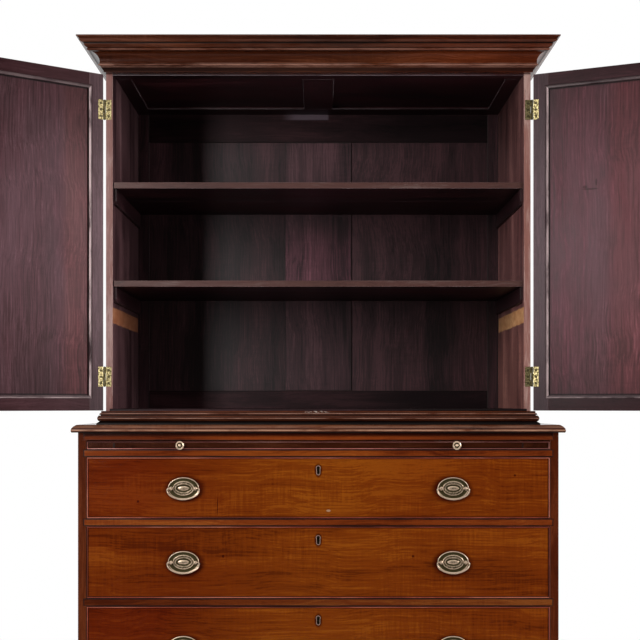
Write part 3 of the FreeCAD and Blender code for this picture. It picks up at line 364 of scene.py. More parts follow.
def apply_modifiers(thing):
    """Turns an object and its modifiers into a plain mesh."""
    graph = bpy.context.evaluated_depsgraph_get()
    mesh = bpy.data.meshes.new_from_object(thing.evaluated_get(graph), preserve_all_data_layers=True, depsgraph=graph)
    thing.modifiers.clear()
    old, thing.data = thing.data, mesh
    bpy.data.meshes.remove(old)
    mesh.name = thing.name


def outward(corners, faces):
    """The same faces, all turned to point out of their closed mesh."""
    solid = bmesh.new()
    made = [solid.verts.new(corner) for corner in corners]
    for face in faces:
        solid.faces.new([made[index] for index in face])
    solid.verts.index_update()
    bmesh.ops.recalc_face_normals(solid, faces=solid.faces)
    turned = [[corner.index for corner in face.verts] for face in solid.faces]
    solid.free()
    return turned


def dress(piece, *nodes, slot=None, body=None):
    """Puts a finished piece in the place of its nodes and on their body; the slot is not used."""
    if nodes:
        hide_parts(*nodes)
    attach(piece, body or BODY_OF[nodes[0]])


def eased_board(node, width, woods, choose=None, keep=None):
    """An eased copy of a node's solids, or of those that keep accepts by their lowest and highest corners."""
    piece = Piece(f"eased_{node}")
    solids, corners = solids_of(node)
    for triangles, low, high in solids:
        if keep is None or keep(low, high):
            piece.add_solid(eased_solid(triangles, corners, width), choose)
    return piece.make(woods)


def ease(width, woods, *nodes, choose=None):
    """Dresses each node with its eased boards."""
    for node in nodes:
        dress(eased_board(node, width, woods, choose), node)


# ---------------------------------------------------------------- sections and sweeps


def in_metres(section, up=0.0):
    """A section in metres and raised, with its tones as they are."""
    return [(point[0] * MM, point[1] * MM + up, *(bow * MM for bow in point[2:3]), *point[3:]) for point in section]


def open_curve(points, steps):
    """The points (u, v, tone) of a line through corners (u, v), (u, v, bow) or (u, v, bow, tone).

    A bow bends what follows its corner to the left.
    """
    line = []
    for start, end in zip(points, points[1:]):
        (u0, v0), (u1, v1) = start[:2], end[:2]
        bow, tone = (tuple(start[2:]) + (0.0, 0.0)[len(start) - 2 :])[:2]
        line.append((u0, v0, tone))
        if bow:
            chord = math.hypot(u1 - u0, v1 - v0)
            half_turn = 2 * math.atan(2 * bow / chord)
            radius = chord / 2 / math.sin(half_turn)
            for step in range(1, steps):
                turn = half_turn * (2 * step / steps - 1)
                along = chord / 2 + radius * math.sin(turn)
                left = radius * (math.cos(turn) - math.cos(half_turn))
                way_u, way_v = (u1 - u0) / chord, (v1 - v0) / chord
                line.append((u0 + way_u * along - way_v * left, v0 + way_v * along + way_u * left, tone))
    return line + [(*points[-1][:2], 0.0)]


def eased_line(points, steps, radius):
    """A curve of (u, v, relief) through a section's corners, with the sharp ones rounded."""
    line = open_curve(points, steps)
    out = [line[0]]
    for before, point, after in zip(line, line[1:], line[2:]):
        here = Vector(point[:2])
        back, ahead = Vector(before[:2]) - here, Vector(after[:2]) - here
        turn = math.pi - back.angle(ahead)
        side = 1 if back.x * ahead.y - back.y * ahead.x < 0 else -1
        if turn < CORNER_TURN:
            reach = min((back.length + ahead.length) / 2, GUARD)
            curve = side * turn * MM / reach * (0 if point[2] else 1)
            out.append((*here, max(-1.0, min(1.0, point[2] + curve))))
            continue
        cut = min(radius, 0.35 * back.length, 0.35 * ahead.length)
        guard = min(cut + GUARD, 0.45 * back.length, 0.45 * ahead.length)
        start, end = here + back.normalized() * cut, here + ahead.normalized() * cut
        out.append((*(here + back.normalized() * guard), before[2]))
        worn = float(side) if max(before[2], point[2]) > -0.5 else -1.0
        for step in range(FILLET_STEPS + 1):
            t = step / FILLET_STEPS
            out.append((*(start * (1 - t) ** 2 + here * 2 * t * (1 - t) + end * t**2), worn))
        out.append((*(here + ahead.normalized() * guard), point[2]))
    return out + [(*line[-1][:2], line[-2][2])]


def run_moulding(name, node, wood, section, shapes, behind=0.0, from_top=False):
    """Runs a section round the front and both sides in three mitred lengths, in place of a node.

    The section goes down from the node's top, or up from its foot. behind is how far the front length reaches back
    over the boards.
    """
    piece = Piece(name)
    low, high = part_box(node)
    section = in_metres(section, high.z if from_top else low.z)
    reach = max(point[0] for point in section)
    half, corner = high.x - reach, low.y + reach
    face = eased_line(section, shapes.arc_steps, shapes.moulding_edge)
    foot, top = min(point[1] for point in section), max(point[1] for point in section)
    ring = [(0.0, top, 0.0), (0.0, foot, 0.0)] + face
    relief = [worn for _, _, worn in ring]
    for side in SIDES.values():
        first = [(side * (half + out), corner - out, z) for out, z, _ in ring]
        last = [(x, high.y, z) for x, _, z in first]
        add_length(piece, first, last, relief, Vector((0, 1, 0)))
    if behind:
        ring = [(-behind, top, 0.0), (-behind, foot, 0.0), ring[1]] + face + [ring[0]]
    ends = [[(side * (half + max(out, 0.0)), corner - out, z) for out, z, _ in ring] for side in SIDES.values()]
    add_length(piece, *ends, [worn for _, _, worn in ring], Vector((1, 0, 0)), bool(behind))
    dress(piece.make([wood]), node)


def mitred_frame(piece, section, low, high, place, shapes, rubbing_and_highlight=EVEN, finish=0):
    """Four mitred strips round an upright rectangle, from a closed section of (how far in, Y).

    low and high are the rectangle's corners as (x, z), and place takes the strips to where they are.
    """
    face = eased_line(section, shapes.arc_steps, shapes.strip_edge)
    corners = ((low[0], low[1]), (high[0], low[1]), (high[0], high[1]), (low[0], high[1]))
    inward = ((1, 1), (-1, 1), (-1, -1), (1, -1))
    for i, (outer, inner) in enumerate(rubbing_and_highlight):
        ends = []
        for j in (i, (i + 1) % 4):
            (x, z), (in_x, in_z) = corners[j], inward[j]
            ends.append([place @ Vector((x + in_x * u, y, z + in_z * u)) for u, y, _ in face])
        way = (ends[1][0] - ends[0][0]).normalized()
        relief = [worn * (1.0 if worn < 0 else outer if u < RUBBED_AND_HIGHLIT_WIDTH else inner) for u, _, worn in face]
        add_length(piece, *ends, relief, way, finish=finish)


def add_length(piece, first, last, relief, way, stepped=False, finish=0):
    """One length of moulding between two rings of corners, with a cap on either end, in two parts if stepped."""
    count = len(first)
    corners = [Vector(corner) for corner in first + last]
    faces = [(i, (i + 1) % count, count + (i + 1) % count, count + i) for i in range(count)]
    caps = [list(range(2, count)), [0, 1, 2, count - 1]] if stepped else [list(range(count))]
    faces += caps + [[count + index for index in cap] for cap in caps]
    middle = sum(corners, Vector()) / len(corners)
    across = Vector((0, 0, 1)) if abs(way.z) < 0.7 else Vector((1, 0, 0))
    axes = (way, across, way.cross(across))
    place = [[(corner - middle).dot(axis) for axis in axes] for corner in corners]
    piece.add(corners, outward(corners, faces), place, NO_EDGE, place_seed(piece.name, middle), relief * 2, finish)


def oval(centre, half_width, half_height, out, sides, unit=1.0):
    """An upright ring of corners, so far out from the front, with its sizes in a unit."""
    turns = [2 * math.pi * i / sides for i in range(sides)]
    return [
        centre + Vector((half_width * math.cos(turn), -out, half_height * math.sin(turn))) * unit for turn in turns
    ]


def spun(piece, profile, centre, sides):
    """A turned brass whose axis runs forward from centre, over a profile of (radius, how far forward, bow, tone)."""
    line = eased_line(in_metres(profile), 8, 0.2 * MM)
    rings = [oval(centre, radius, radius, out, sides) for radius, out, _ in line]
    piece.add_rings(rings, [worn for _, _, worn in line], place_seed(piece.name, centre))


# ---------------------------------------------------------------- finishes


class Net:
    """Adds nodes to a tree and joins them."""

    def __init__(self, tree):
        self.tree = tree

    def node(self, kind, inputs=None, **settings):
        node = self.tree.nodes.new(kind)
        for name, value in settings.items():
            setattr(node, name, value)
        return self.feed(node, inputs or {})

    def feed(self, node, inputs):
        """Gives a node's inputs their values, or joins them to other nodes."""
        for name, value in inputs.items():
            socket = node.inputs[name]
            if isinstance(value, bpy.types.NodeSocket):
                self.tree.links.new(value, socket)
            else:
                socket.default_value = (*value, 1) if socket.type == "RGBA" else value
        return node

    def math(self, operation, *values, clamp=False):
        """The first value, with the operation applied to it and each of the rest in turn."""
        result = values[0]
        for i, value in enumerate(values[1:], 2):
            inputs, last = {0: result, 1: value}, clamp and i == len(values)
            result = self.node("ShaderNodeMath", inputs, operation=operation, use_clamp=last).outputs[0]
        return result

    add, sub = partialmethod(math, "ADD"), partialmethod(math, "SUBTRACT")
    mul, most = partialmethod(math, "MULTIPLY"), partialmethod(math, "MAXIMUM")

    def share(self, value, middle, half):
        """How far a value is from a middle, as a share of a half size."""
        return self.math("DIVIDE", self.sub(value, middle), half)

    def vector(self, operation, *values, output=0):
        return self.node("ShaderNodeVectorMath", dict(enumerate(values)), operation=operation).outputs[output]

    def join(self, x=0.0, y=0.0, z=0.0):
        return self.node("ShaderNodeCombineXYZ", {0: x, 1: y, 2: z}).outputs[0]

    def split(self, vector):
        return self.node("ShaderNodeSeparateXYZ", {0: vector}).outputs

    def where(self):
        """A point's place on the press."""
        return self.node("ShaderNodeTexCoord").outputs["Object"]

    def attribute(self, name, output):
        return self.node("ShaderNodeAttribute", attribute_name=name).outputs[output]

    def noise(self, vector, factors, detail=3.0, roughness=0.55, distortion=0.0):
        settings = {"Scale": 1.0, "Detail": detail, "Roughness": roughness, "Distortion": distortion}
        vector = self.vector("MULTIPLY", vector, factors)
        return self.node("ShaderNodeTexNoise", {"Vector": vector, **settings}).outputs[0]

    def ramp(self, value, low, high, smooth="SMOOTHSTEP"):
        """0 below low, 1 above high and smooth between."""
        inputs = {"Value": value, "From Min": low, "From Max": high}
        return self.node("ShaderNodeMapRange", inputs, interpolation_type=smooth).outputs[0]

    def figure(self, *noise):
        """Noise spread over the whole range from 0 to 1."""
        return self.ramp(self.noise(*noise), 0.3, 0.7, "LINEAR")

    def mix(self, factor, a, b, blend="MIX"):
        return self.node("ShaderNodeMix", {0: factor, 6: a, 7: b}, data_type="RGBA", blend_type=blend).outputs[2]

    def dye(self, mask, base, tint):
        """The colour, multiplied by a tint where the mask is 1."""
        return self.mix(mask, base, tint, "MULTIPLY")

    def bump(self, height, strength, depth):
        inputs = {"Height": height, "Strength": strength, "Distance": depth}
        return self.node("ShaderNodeBump", inputs).outputs[0]

    def group(self, name, inputs=None):
        """Places a shared group, made the first time that it is asked for."""
        if name not in bpy.data.node_groups:
            make, given, made = GROUPS[name]
            inner, sockets = new_tree(name, "ShaderNodeTree", given, made)
            inner.node("NodeGroupOutput", make(inner, sockets))
        return self.node("ShaderNodeGroup", inputs, node_tree=bpy.data.node_groups[name]).outputs


def new_tree(name, kind, given, made):
    """A net in a new group whose sockets are given as names by kind, and the group's inputs."""
    tree = bpy.data.node_groups.new(name, kind)
    for way, sockets in (("INPUT", given), ("OUTPUT", made)):
        for socket_kind, names in sockets.items():
            for socket in names:
                tree.interface.new_socket(socket, in_out=way, socket_type=f"NodeSocket{socket_kind}")
    net = Net(tree)
    return net, net.node("NodeGroupInput").outputs


def board_space(net, given):
    """Where a point lies in its own board: the grain's coordinates, the distance to an edge, and its relief."""
    place, seed = net.attribute("place", "Vector"), net.attribute("seed", "Fac")
    grain = net.vector("ADD", place, net.join(net.mul(seed, 37.0), net.mul(seed, 11.0)))
    gap = net.vector("SUBTRACT", net.attribute("half", "Vector"), net.vector("ABSOLUTE", place))
    x, y, z = net.split(gap)
    edge = net.most(net.math("MINIMUM", x, y), net.math("MINIMUM", net.most(x, y), z))
    return {"Grain": grain, "Edge": edge, "Relief": net.attribute("relief", "Fac"), "Seed": seed}


def figured_wood(net, given):
    """Wood from a dark, a middle and a light tone: streaks and pores along the grain, ripple across it."""
    bend = net.mul(net.sub(net.noise(given["Grain"], (3.0, 2.0, 2.0), 2.0), 0.5), 0.06)
    grain = net.vector("ADD", given["Grain"], net.join(0.0, bend, bend))
    streak = net.figure(grain, (1.0, 14.0, 14.0), 5.0, 0.62, 0.5)
    cloud = net.figure(grain, (2.5, 5.0, 5.0), 2.0)
    fine = net.figure(grain, (6.0, 220.0, 220.0), 4.0, 0.72)
    ripple = net.figure(grain, (150.0, 9.0, 9.0), 3.0, 0.7)
    gate = net.ramp(net.noise(grain, (3.0, 9.0, 9.0), 2.0), 0.35, 0.65)
    pores = net.mul(net.ramp(net.noise(grain, (45.0, 1100.0, 1100.0), 1.0), 0.62, 0.72), given["Pores"])

    def swing(value, *amounts):
        return net.mul(net.sub(value, 0.5), *amounts)

    tone = net.add(
        0.5,
        swing(streak, given["Streaks"]),
        swing(cloud, net.mul(given["Streaks"], 0.6)),
        swing(fine, given["Fine grain"]),
        swing(ripple, given["Ripple"], gate),
        swing(given["Seed"], given["Board tone"]),
        clamp=True,
    )
    wood = net.mix(net.ramp(tone, 0.0, 0.5), given["Dark"], given["Middle"])
    wood = net.mix(net.ramp(tone, 0.5, 1.0), wood, given["Light"])
    wood = net.mix(net.mul(pores, 0.7), wood, given["Dark"])
    return {"Colour": wood, "Height": net.sub(net.mul(fine, 0.15), pores), "Tone": tone}


def wear_and_painted_light(net, given):
    """Masks for rubbed arrises with a painted highlight, and for old wax and dust with painted shade, from the
    distance to an edge and the relief.
    """
    patches = net.noise(given["Grain"], (9.0, 40.0, 40.0), 4.0, 0.65)
    near = net.sub(1.0, net.math("DIVIDE", given["Edge"], 1.6 * MM), clamp=True)
    # Arrises and raised tones get a pale tone that is wear and a painted highlight; hollows and a band in from each
    # edge get a dark one that is grime and painted shade
    ridge = net.most(near, net.most(given["Relief"], 0.0))
    hollow = net.mul(net.most(net.mul(given["Relief"], -1.0), 0.0), given["Grime"])
    border = net.mul(net.ramp(given["Edge"], 4.0 * MM, 1.0 * MM), given["Edge grime"], net.ramp(patches, 0.2, 0.5))
    rubbed = net.mul(ridge, net.ramp(patches, 0.3, 0.6), given["Rubbing"])
    return {"Rubbed": rubbed, "Grimy": net.most(hollow, border, clamp=True)}


FIGURE = ("Streaks", "Fine grain", "Ripple", "Pores", "Board tone")
WEAR_AND_PAINTED_LIGHT = ("Rubbing", "Grime", "Edge grime")
GROUPS = {
    "Board space": (board_space, {}, {"Vector": ["Grain"], "Float": ["Edge", "Relief", "Seed"]}),
    "Figured wood": (
        figured_wood,
        {"Vector": ["Grain"], "Color": ["Dark", "Middle", "Light"], "Float": ["Seed", *FIGURE]},
        {"Color": ["Colour"], "Float": ["Height", "Tone"]},
    ),
    "Wear": (wear_and_painted_light, {"Vector": ["Grain"], "Float": ["Edge", "Relief", *WEAR_AND_PAINTED_LIGHT]}, {"Float": ["Rubbed", "Grimy"]}),
}


def masked(net, *reaches):
    """1 where a place is past every reach: an axis, and where the change begins and ends along it."""
    place = net.split(net.where())
    return net.mul(*(net.ramp(place[axis], low, high) for axis, low, high in reaches))


def shaded(net, base, rows):
    """The colour multiplied by each row's tint, within that row's reaches."""
    for tint, *reaches in rows:
        base = net.dye(masked(net, *reaches), base, tint)
    return base


def oval_mask(net, across, up, outer, inner):
    """1 inside a soft oval, from how far across and up a place is in its half sizes."""
    return net.ramp(net.vector("LENGTH", net.join(across, up), output="Value"), outer, inner)


def spot(net, x, z, half_width, half_height):
    """A soft upright oval about one place on the press's front."""
    place = net.split(net.where())
    return oval_mask(net, net.share(place[0], x, half_width), net.share(place[2], z, half_height), 1.3, 0.7)


def spotted(net, base, spots, tint):
    """The colour multiplied by a tint on each spot."""
    for place in spots:
        base = net.dye(spot(net, *place), base, tint)
    return base


# Reaches inside the cupboard, and rows of a tint with its reaches
RIGHT, HEAD = (0, -0.1, 0.1), (2, 1.4, 1.75)
# Painted shade at a door's head and foot, which leaves it lighter half way up
DOOR_SHADES = (((0.62, 0.58, 0.58), (2, 1.35, 1.75)), ((0.62, 0.58, 0.58), (2, 1.12, 0.9)))
# The panels: warmer by the left door's hinge side and at the right door's far edge, with painted light over the right
# door, most low down
PANEL_SHADES = (
    ((1.12, 0.98, 0.85), (0, -0.672, -0.645), (0, 0.1, -0.1)),
    ((1.55, 1.42, 1.42), (0, 0.5, 0.75)),
    ((1.25, 1.2, 1.2), (0, 0.5, 0.75), (2, 1.2, 0.95)),
    ((1.2, 1.0, 0.93), (0, 0.735, 0.775)),
)
# The walls: painted shade at the head and painted light on the right wall, strongest low down
WALL_SHADES = (
    ((0.78, 0.8, 0.8), HEAD),
    ((1.85, 1.55, 1.35), RIGHT),
    ((0.66, 0.66, 0.66), RIGHT, HEAD),
    ((1.3, 1.3, 1.15), RIGHT, (2, 1.2, 1.0)),
)
RAIL_SHADES = (
    ((1.3, 1.55, 1.35), (0, -0.4, -0.2), (0, 0.25, 0.05), (2, 0.7, 0.72)),
    ((0.72, 0.76, 0.9), (2, 0.42, 0.4)),
)
# The frieze: darker at both ends, with painted shadow along its top under the nose of the chest's top
FRIEZE_SHADES = (
    ((0.62, 0.6, 0.8), (0, -0.2, -0.4)),
    ((0.62, 0.6, 0.8), (0, 0.15, 0.4)),
    ((0.2, 0.14, 0.1), (2, 0.8, 0.808)),
)
# The beads' crests, partly a painted highlight: painted shade on the top of the upper slide bead, brighter on the
# lower slide bead, less bright and redder on the drawers' beads
CREST_SHADES = (
    ((0.2, 0.12, 0.12), (2, 0.7892, 0.7898)),
    ((1.9, 1.8, 1.8), (2, 0.78, 0.775)),
    ((0.68, 0.42, 0.3), (2, 0.765, 0.755)),
)
# Spots on the front: x, z, half width and half height
KNOCKS = (
    (-0.468, 0.635, 0.003, 0.003), (-0.247, 0.4925, 0.003, 0.0035), (0.5105, 0.7025, 0.003, 0.003),
    (0.246, 0.4925, 0.0035, 0.003), (-0.2615, 0.622, 0.0011, 0.022),
)
PLUG = (0.0265, 0.611, 0.0055, 0.003)
SCUFFS = ((0.706, 1.446, 0.018, 0.0024), (0.72, 1.463, 0.0024, 0.009), (0.693, 1.452, 0.005, 0.004))
WAIST_KNOCKS = (-0.006, 0.8665, 0.03, 0.0035)


def drawer_marks(net, space, base):
    """Redder and darker towards the ends, partly painted shade; darker round the keyholes; a painted shadow round and
    below the handles; old wax and painted shade in a band by the cock beads; a scratch, a plug and a few knocks.
    """
    # Redder and darker towards the ends in soft clouds: the wood's own colour with painted shade
    clouds = net.add(0.35, net.figure(space["Grain"], (1.3, 3.0, 3.0), 2.0))
    for reach, tint in (((0, 0.0, -0.5), (0.64, 0.36, 0.42)), ((0, 0.02, 0.3), (0.84, 0.7, 0.72))):
        base = net.dye(net.mul(masked(net, reach), clouds, clamp=True), base, tint)
    base = spotted(net, base, KNOCKS, (0.35, 0.2, 0.2))
    base = net.mix(spot(net, *PLUG), base, (0.3, 0.17, 0.1))
    keyholes = [(0.0, keyhole_place(f"drawer_{drawer}_brasses", 0).z, 9.5 * MM, 17 * MM) for drawer in DRAWERS]
    base = spotted(net, base, keyholes, (0.25, 0.13, 0.15))
    # Old wax and painted shade in a band beside the cock beads
    base = net.dye(net.ramp(space["Edge"], 6 * MM, 3.6 * MM), base, (0.35, 0.22, 0.25))
    # A painted shadow round each handle's plate, set a little below it
    along, up, _ = net.split(net.attribute("place", "Vector"))
    along = net.node("ShaderNodeMath", {0: along}, operation="ABSOLUTE").outputs[0]
    handles = oval_mask(net, net.share(along, HANDLE_X, 40 * MM), net.share(up, -3 * MM, 28 * MM), 1.5, 1.0)
    return net.dye(handles, base, (0.3, 0.16, 0.16))


def waist_marks(net, space, base):
    """Small pale knocks in the middle, under the meeting of the doors."""
    knocks = net.ramp(net.noise(space["Grain"], (160.0, 500.0, 500.0), 2.0), 0.5, 0.6)
    return net.mix(net.mul(spot(net, *WAIST_KNOCKS), knocks), base, (0.5, 0.4, 0.34))


def panel_marks(net, space, base):
    """A grey haze in the old polish half way up that is also a painted sheen, wine-red streaks, painted light on the
    right door, scuffs and a painted shadow beside the bead.
    """
    hue = net.figure(space["Grain"], (0.8, 30.0, 30.0), 5.0)
    wine = net.ramp(net.noise(space["Grain"], (1.6, 4.5, 4.5)), 0.48, 0.6)
    base = net.dye(net.mul(hue, 0.6), base, (1.0, 0.72, 0.78))
    base = net.dye(net.mul(wine, 0.6), base, (1.08, 0.78, 0.84))
    patches = net.mul(net.figure(space["Grain"], (2.0, 7.0, 7.0), 4.0), 0.4)
    polish_bloom_and_sheen = net.mul(masked(net, (2, 1.0, 1.3), (2, 1.8, 1.45)), patches, clamp=True)
    base = shaded(net, net.mix(polish_bloom_and_sheen, base, (0.14, 0.072, 0.088)), PANEL_SHADES + DOOR_SHADES)
    base = spotted(net, base, SCUFFS, (0.45, 0.35, 0.35))
    # Painted shadow of the bead along the panel's edge
    return net.dye(net.ramp(space["Edge"], 12.5 * MM, 10 * MM), base, (0.25, 0.2, 0.2))


def wall_marks(net, space, base):
    """Painted shade at the head and painted light on the right wall, with a band of bare wood where a runner was."""
    _, y, z = net.split(net.where())
    ragged = net.figure(space["Grain"], (60.0, 25.0, 25.0), 3.0)
    z = net.add(z, net.mul(ragged, 3 * MM))
    band = net.mul(net.ramp(z, 1.102, 1.105), net.ramp(z, 1.147, 1.144), net.ramp(y, 0.262, 0.258), 0.9)
    bare = net.mix(ragged, (0.37, 0.115, 0.048), (0.5, 0.21, 0.105))
    # The bare band also takes painted light on the right wall
    bare = net.dye(masked(net, RIGHT), bare, (1.95, 2.6, 2.4))
    return net.mix(band, shaded(net, base, WALL_SHADES), bare)


def low_inside_marks(net, space, base):
    """Painted shade darker towards the right, with a long paler patch at the head of the back."""
    base = shaded(net, base, (((0.4, 0.36, 0.4), (0, 0.0, 0.35)),))
    patch = masked(net, (0, -0.115, -0.06), (0, 0.034, 0.026), (2, 1.742, 1.747))
    return net.mix(net.mul(patch, 0.8), base, (0.16, 0.115, 0.14))


# Each wood: its tones and what they are multiplied by; the strength of its streaks, fine grain, ripple, pores and
# board tone; of its rubbing and painted highlight, grime and painted shade in hollows, and grime and painted shade
# along edges; the tone of a rubbed, highlit place; its roughness and specular level; and its own marks, as a function
# or as rows of tints
WOODS = {
    "drawer": ("fronts", 1, (0.9, 0.8, 0.4, 0.8, 0.1), (0, 0.6, 0.9), (0.3, 0.11, 0.06), (0.17, 0.14), drawer_marks),
    "rail": ("rails", 1, (0.8, 0.5, 0.2, 0.6, 0.1), (0, 0.6, 1), (0.3, 0.12, 0.07), (0.2, 0.2), RAIL_SHADES),
    "frieze": ("rails", 1.25, (0.9, 0.5, 0.2, 0.6, 0.1), (0, 0.6, 0.6), (0.3, 0.12, 0.07), (0.2, 0.2), FRIEZE_SHADES),
    "case": ("case", (1, 0.85, 0.7), (0.7, 0.5, 0.2, 0.6, 0.2), (0.6, 0.9, 0), (0.22, 0.1, 0.07), (0.2, 0.12)),
    # The cornice, with painted light towards the right
    "cornice": (
        "case", 0.7, (0.9, 0.5, 0.2, 0.6, 0.2), (0.8, 1, 0), (0.3, 0.15, 0.11), (0.2, 0.18),
        (((1.6, 1.3, 1.0), (0, 0.1, 0.45)),),
    ),
    "waist": ("case", 0.9, (0.9, 0.5, 0.2, 0.6, 0.2), (0.85, 1, 0), (0.34, 0.19, 0.14), (0.2, 0.2), waist_marks),
    "top_edge": ("case", (1.2, 1.2, 1), (0.9, 0.5, 0.2, 0.6, 0.2), (1, 1, 0), (0.36, 0.19, 0.12), (0.25, 0.25)),
    "bead": ("beads", 1, (0.9, 0.5, 0, 0.4, 0.4), (0, 1, 0), (0.3, 0.15, 0.11), (0.4, 0.05)),
    "crest": (
        "edges", (1.1, 0.95, 0.9), (1.6, 0.5, 0, 0.4, 0.4), (0, 1, 0), (0.3, 0.15, 0.11), (0.35, 0.1), CREST_SHADES
    ),
    "slide": ("case", 0.5, (0.9, 0.5, 0.2, 0.6, 0.2), (0, 0.8, 0.7), (0.3, 0.12, 0.07), (0.2, 0.18)),
    "door": (
        "doors", (0.84, 0.96, 0.94), (0.7, 0.6, 0.1, 0.8, 0.25), (0.5, 0.9, 0), (0.26, 0.17, 0.16), (0.36, 0.13),
        DOOR_SHADES,
    ),
    # The insides of a door's rails, a darker copy of its wood: painted shade at the door's head and foot
    "door_rail": (
        "doors", (0.38, 0.28, 0.28), (0.7, 0.6, 0.1, 0.8, 0.25), (0.4, 0.9, 0), (0.16, 0.1, 0.095), (0.34, 0.08)
    ),
    "door_front": (
        "rails", (0.8, 0.75, 0.9), (0.8, 0.6, 0.3, 0.6, 0.1), (0.5, 0.8, 0.3), (0.34, 0.15, 0.09), (0.2, 0.2)
    ),
    "panel": ("doors", 0.85, (0.45, 1.2, 0.15, 0.9, 0.1), (0.2, 0.8, 0), (0.3, 0.2, 0.18), (0.4, 0.12), panel_marks),
    "door_bead": ("doors", 0.35, (0.6, 0.5, 0, 0.5, 0.2), (1, 1, 0), (0.6, 0.45, 0.44), (0.36, 0.2)),
    # The inside's wood, with painted shade towards the right
    "inside": (
        "inside", (0.95, 0.6, 0.7), (0.9, 0.9, 0.2, 0.8, 0.2), (0.4, 0.6, 0.6), (0.2, 0.12, 0.1), (0.46, 0.4),
        (((0.7, 0.58, 0.6), (0, 0.1, 0.45)),),
    ),
    "wall": (
        "inside", (2.5, 2.4, 2.4), (0.8, 0.5, 0.3, 0.8, 0.25), (0.4, 0.6, 0.2), (0.2, 0.12, 0.1), (0.45, 0.25),
        wall_marks,
    ),
    # A darker copy of the inside's wood for the ceiling and the shelves' undersides: painted shade
    "dark_inside": (
        "inside", (0.7, 0.3, 0.35), (0.9, 0.5, 0.2, 0.8, 0.25), (1, 0.6, 0.3), (0.45, 0.36, 0.38), (0.45, 0.25)
    ),
    # A darker copy of the inside's wood for the back's rails and the floor; on the head rail, under the ceiling, it
    # is painted shade
    "low_inside": (
        "inside", (0.5, 0.3, 0.34), (1, 0.5, 0.2, 0.8, 0.25), (0.4, 0.6, 0.6), (0.12, 0.07, 0.06), (0.46, 0.18),
        low_inside_marks,
    ),
    # The muntin, with a painted pool of light low in the middle bay
    "muntin": (
        "inside", (1.35, 0.95, 1.1), (0.8, 0.8, 0.2, 0.8, 0.1), (0.4, 0.6, 0.6), (0.2, 0.12, 0.1), (0.46, 0.4),
        (((2.3, 1.95, 2.2), (2, 1.2, 1.24), (2, 1.45, 1.33)),),
    ),
    "shelf_edge": (
        "edges", (0.41, 0.44, 0.44), (0.7, 0.5, 0, 0.8, 0.1), (0.6, 0.6, 0), (0.2, 0.12, 0.11), (0.4, 0.25)
    ),
    # The front edges inside, with painted light on the right
    "edge": (
        "edges", 1, (0.7, 0.5, 0, 0.8, 0.1), (0.5, 0.6, 0), (0.5, 0.36, 0.32), (0.4, 0.3),
        (((1.42, 1.5, 1.45), RIGHT),),
    ),
    "bare": ("bare", 1, (0.7, 0.8, 0.1, 1, 0.2), (0.3, 0.6, 0.3), (0.24, 0.15, 0.1), (0.6, 0.2)),
    "plain_oak": ("oak", 1, (0.8, 0.7, 0.1, 1, 0.4), (0.2, 0.4, 0.2), (0.45, 0.33, 0.2), (0.6, 0.3)),
}
# Each brass: its colour and what that is multiplied by, roughness, tarnish, metallic, and where its mottle runs
BRASSES = {
    "handle_brass": ("brass", 1, 0.3, 1.0, 0.7, (-0.1, 1.0)),
    "hinge_brass": ("hinge_brass", 1, 0.38, 0.85, 0.9, (0.2, 0.5)),
    "old_brass": ("hinge_brass", 0.25, 0.5, 0.85, 0.8, (0.2, 0.5)),
    "dull_brass": ("lining_brass", 1, 0.45, 0.7, 0.4, (-0.1, 1.0)),
}


def new_material(name):
    material = bpy.data.materials.new(name)
    material.use_nodes = True
    return material, Net(material.node_tree), material.node_tree.nodes["Principled BSDF"]


def finish(name):
    """The material of that name, made the first time that it is asked for."""
    settings = bpy.context.scene.press_finishes
    if name in BRASSES and name not in bpy.data.materials:
        brass_finish(settings, name, *BRASSES[name])
    elif name not in bpy.data.materials:
        wood_finish(settings, name, *WOODS[name.removesuffix("_mahogany")])
    return bpy.data.materials[name]


def times(tone, factors):
    """A tone multiplied by a number, or each of its parts by its own."""
    shares = factors if isinstance(factors, tuple) else (factors,) * 3
    return tuple(value * share for value, share in zip(tone, shares))


def wood_finish(settings, name, tones, factors, figure, worn, rubbed_and_highlight_tone, surface, marks=()):
    """A finished wood; the table of woods says what each value is."""
    _, net, shader = new_material(name)
    dark, middle, light = (times(getattr(settings, f"{tones}_{shade}"), factors) for shade in SHADES)
    space = net.group("Board space")
    inputs = {"Grain": space["Grain"], "Seed": space["Seed"], "Dark": dark, "Middle": middle, "Light": light}
    wood = net.group("Figured wood", {**inputs, **dict(zip(FIGURE, figure))})
    inputs = {key: space[key] for key in ("Grain", "Edge", "Relief")}
    wear_and_painted_light = net.group("Wear", {**inputs, **dict(zip(WEAR_AND_PAINTED_LIGHT, worn))})
    base = wood["Colour"]
    base = marks(net, space, base) if callable(marks) else shaded(net, base, marks)
    # Rubbed arrises take a pale tone and grimy hollows and edges a dark one: wear and wax, with a painted highlight
    # and painted shade
    base = net.mix(wear_and_painted_light["Rubbed"], base, rubbed_and_highlight_tone)
    base = net.mix(wear_and_painted_light["Grimy"], base, times(dark, 0.12))
    rough = net.add(surface[0], net.mul(net.sub(wood["Tone"], 0.5), 0.1), net.mul(wear_and_painted_light["Grimy"], 0.3))
    bump = net.bump(wood["Height"], 0.25, 0.2 * MM)
    net.feed(shader, {"Base Color": base, "Roughness": rough, "Normal": bump, "Specular IOR Level": surface[1]})


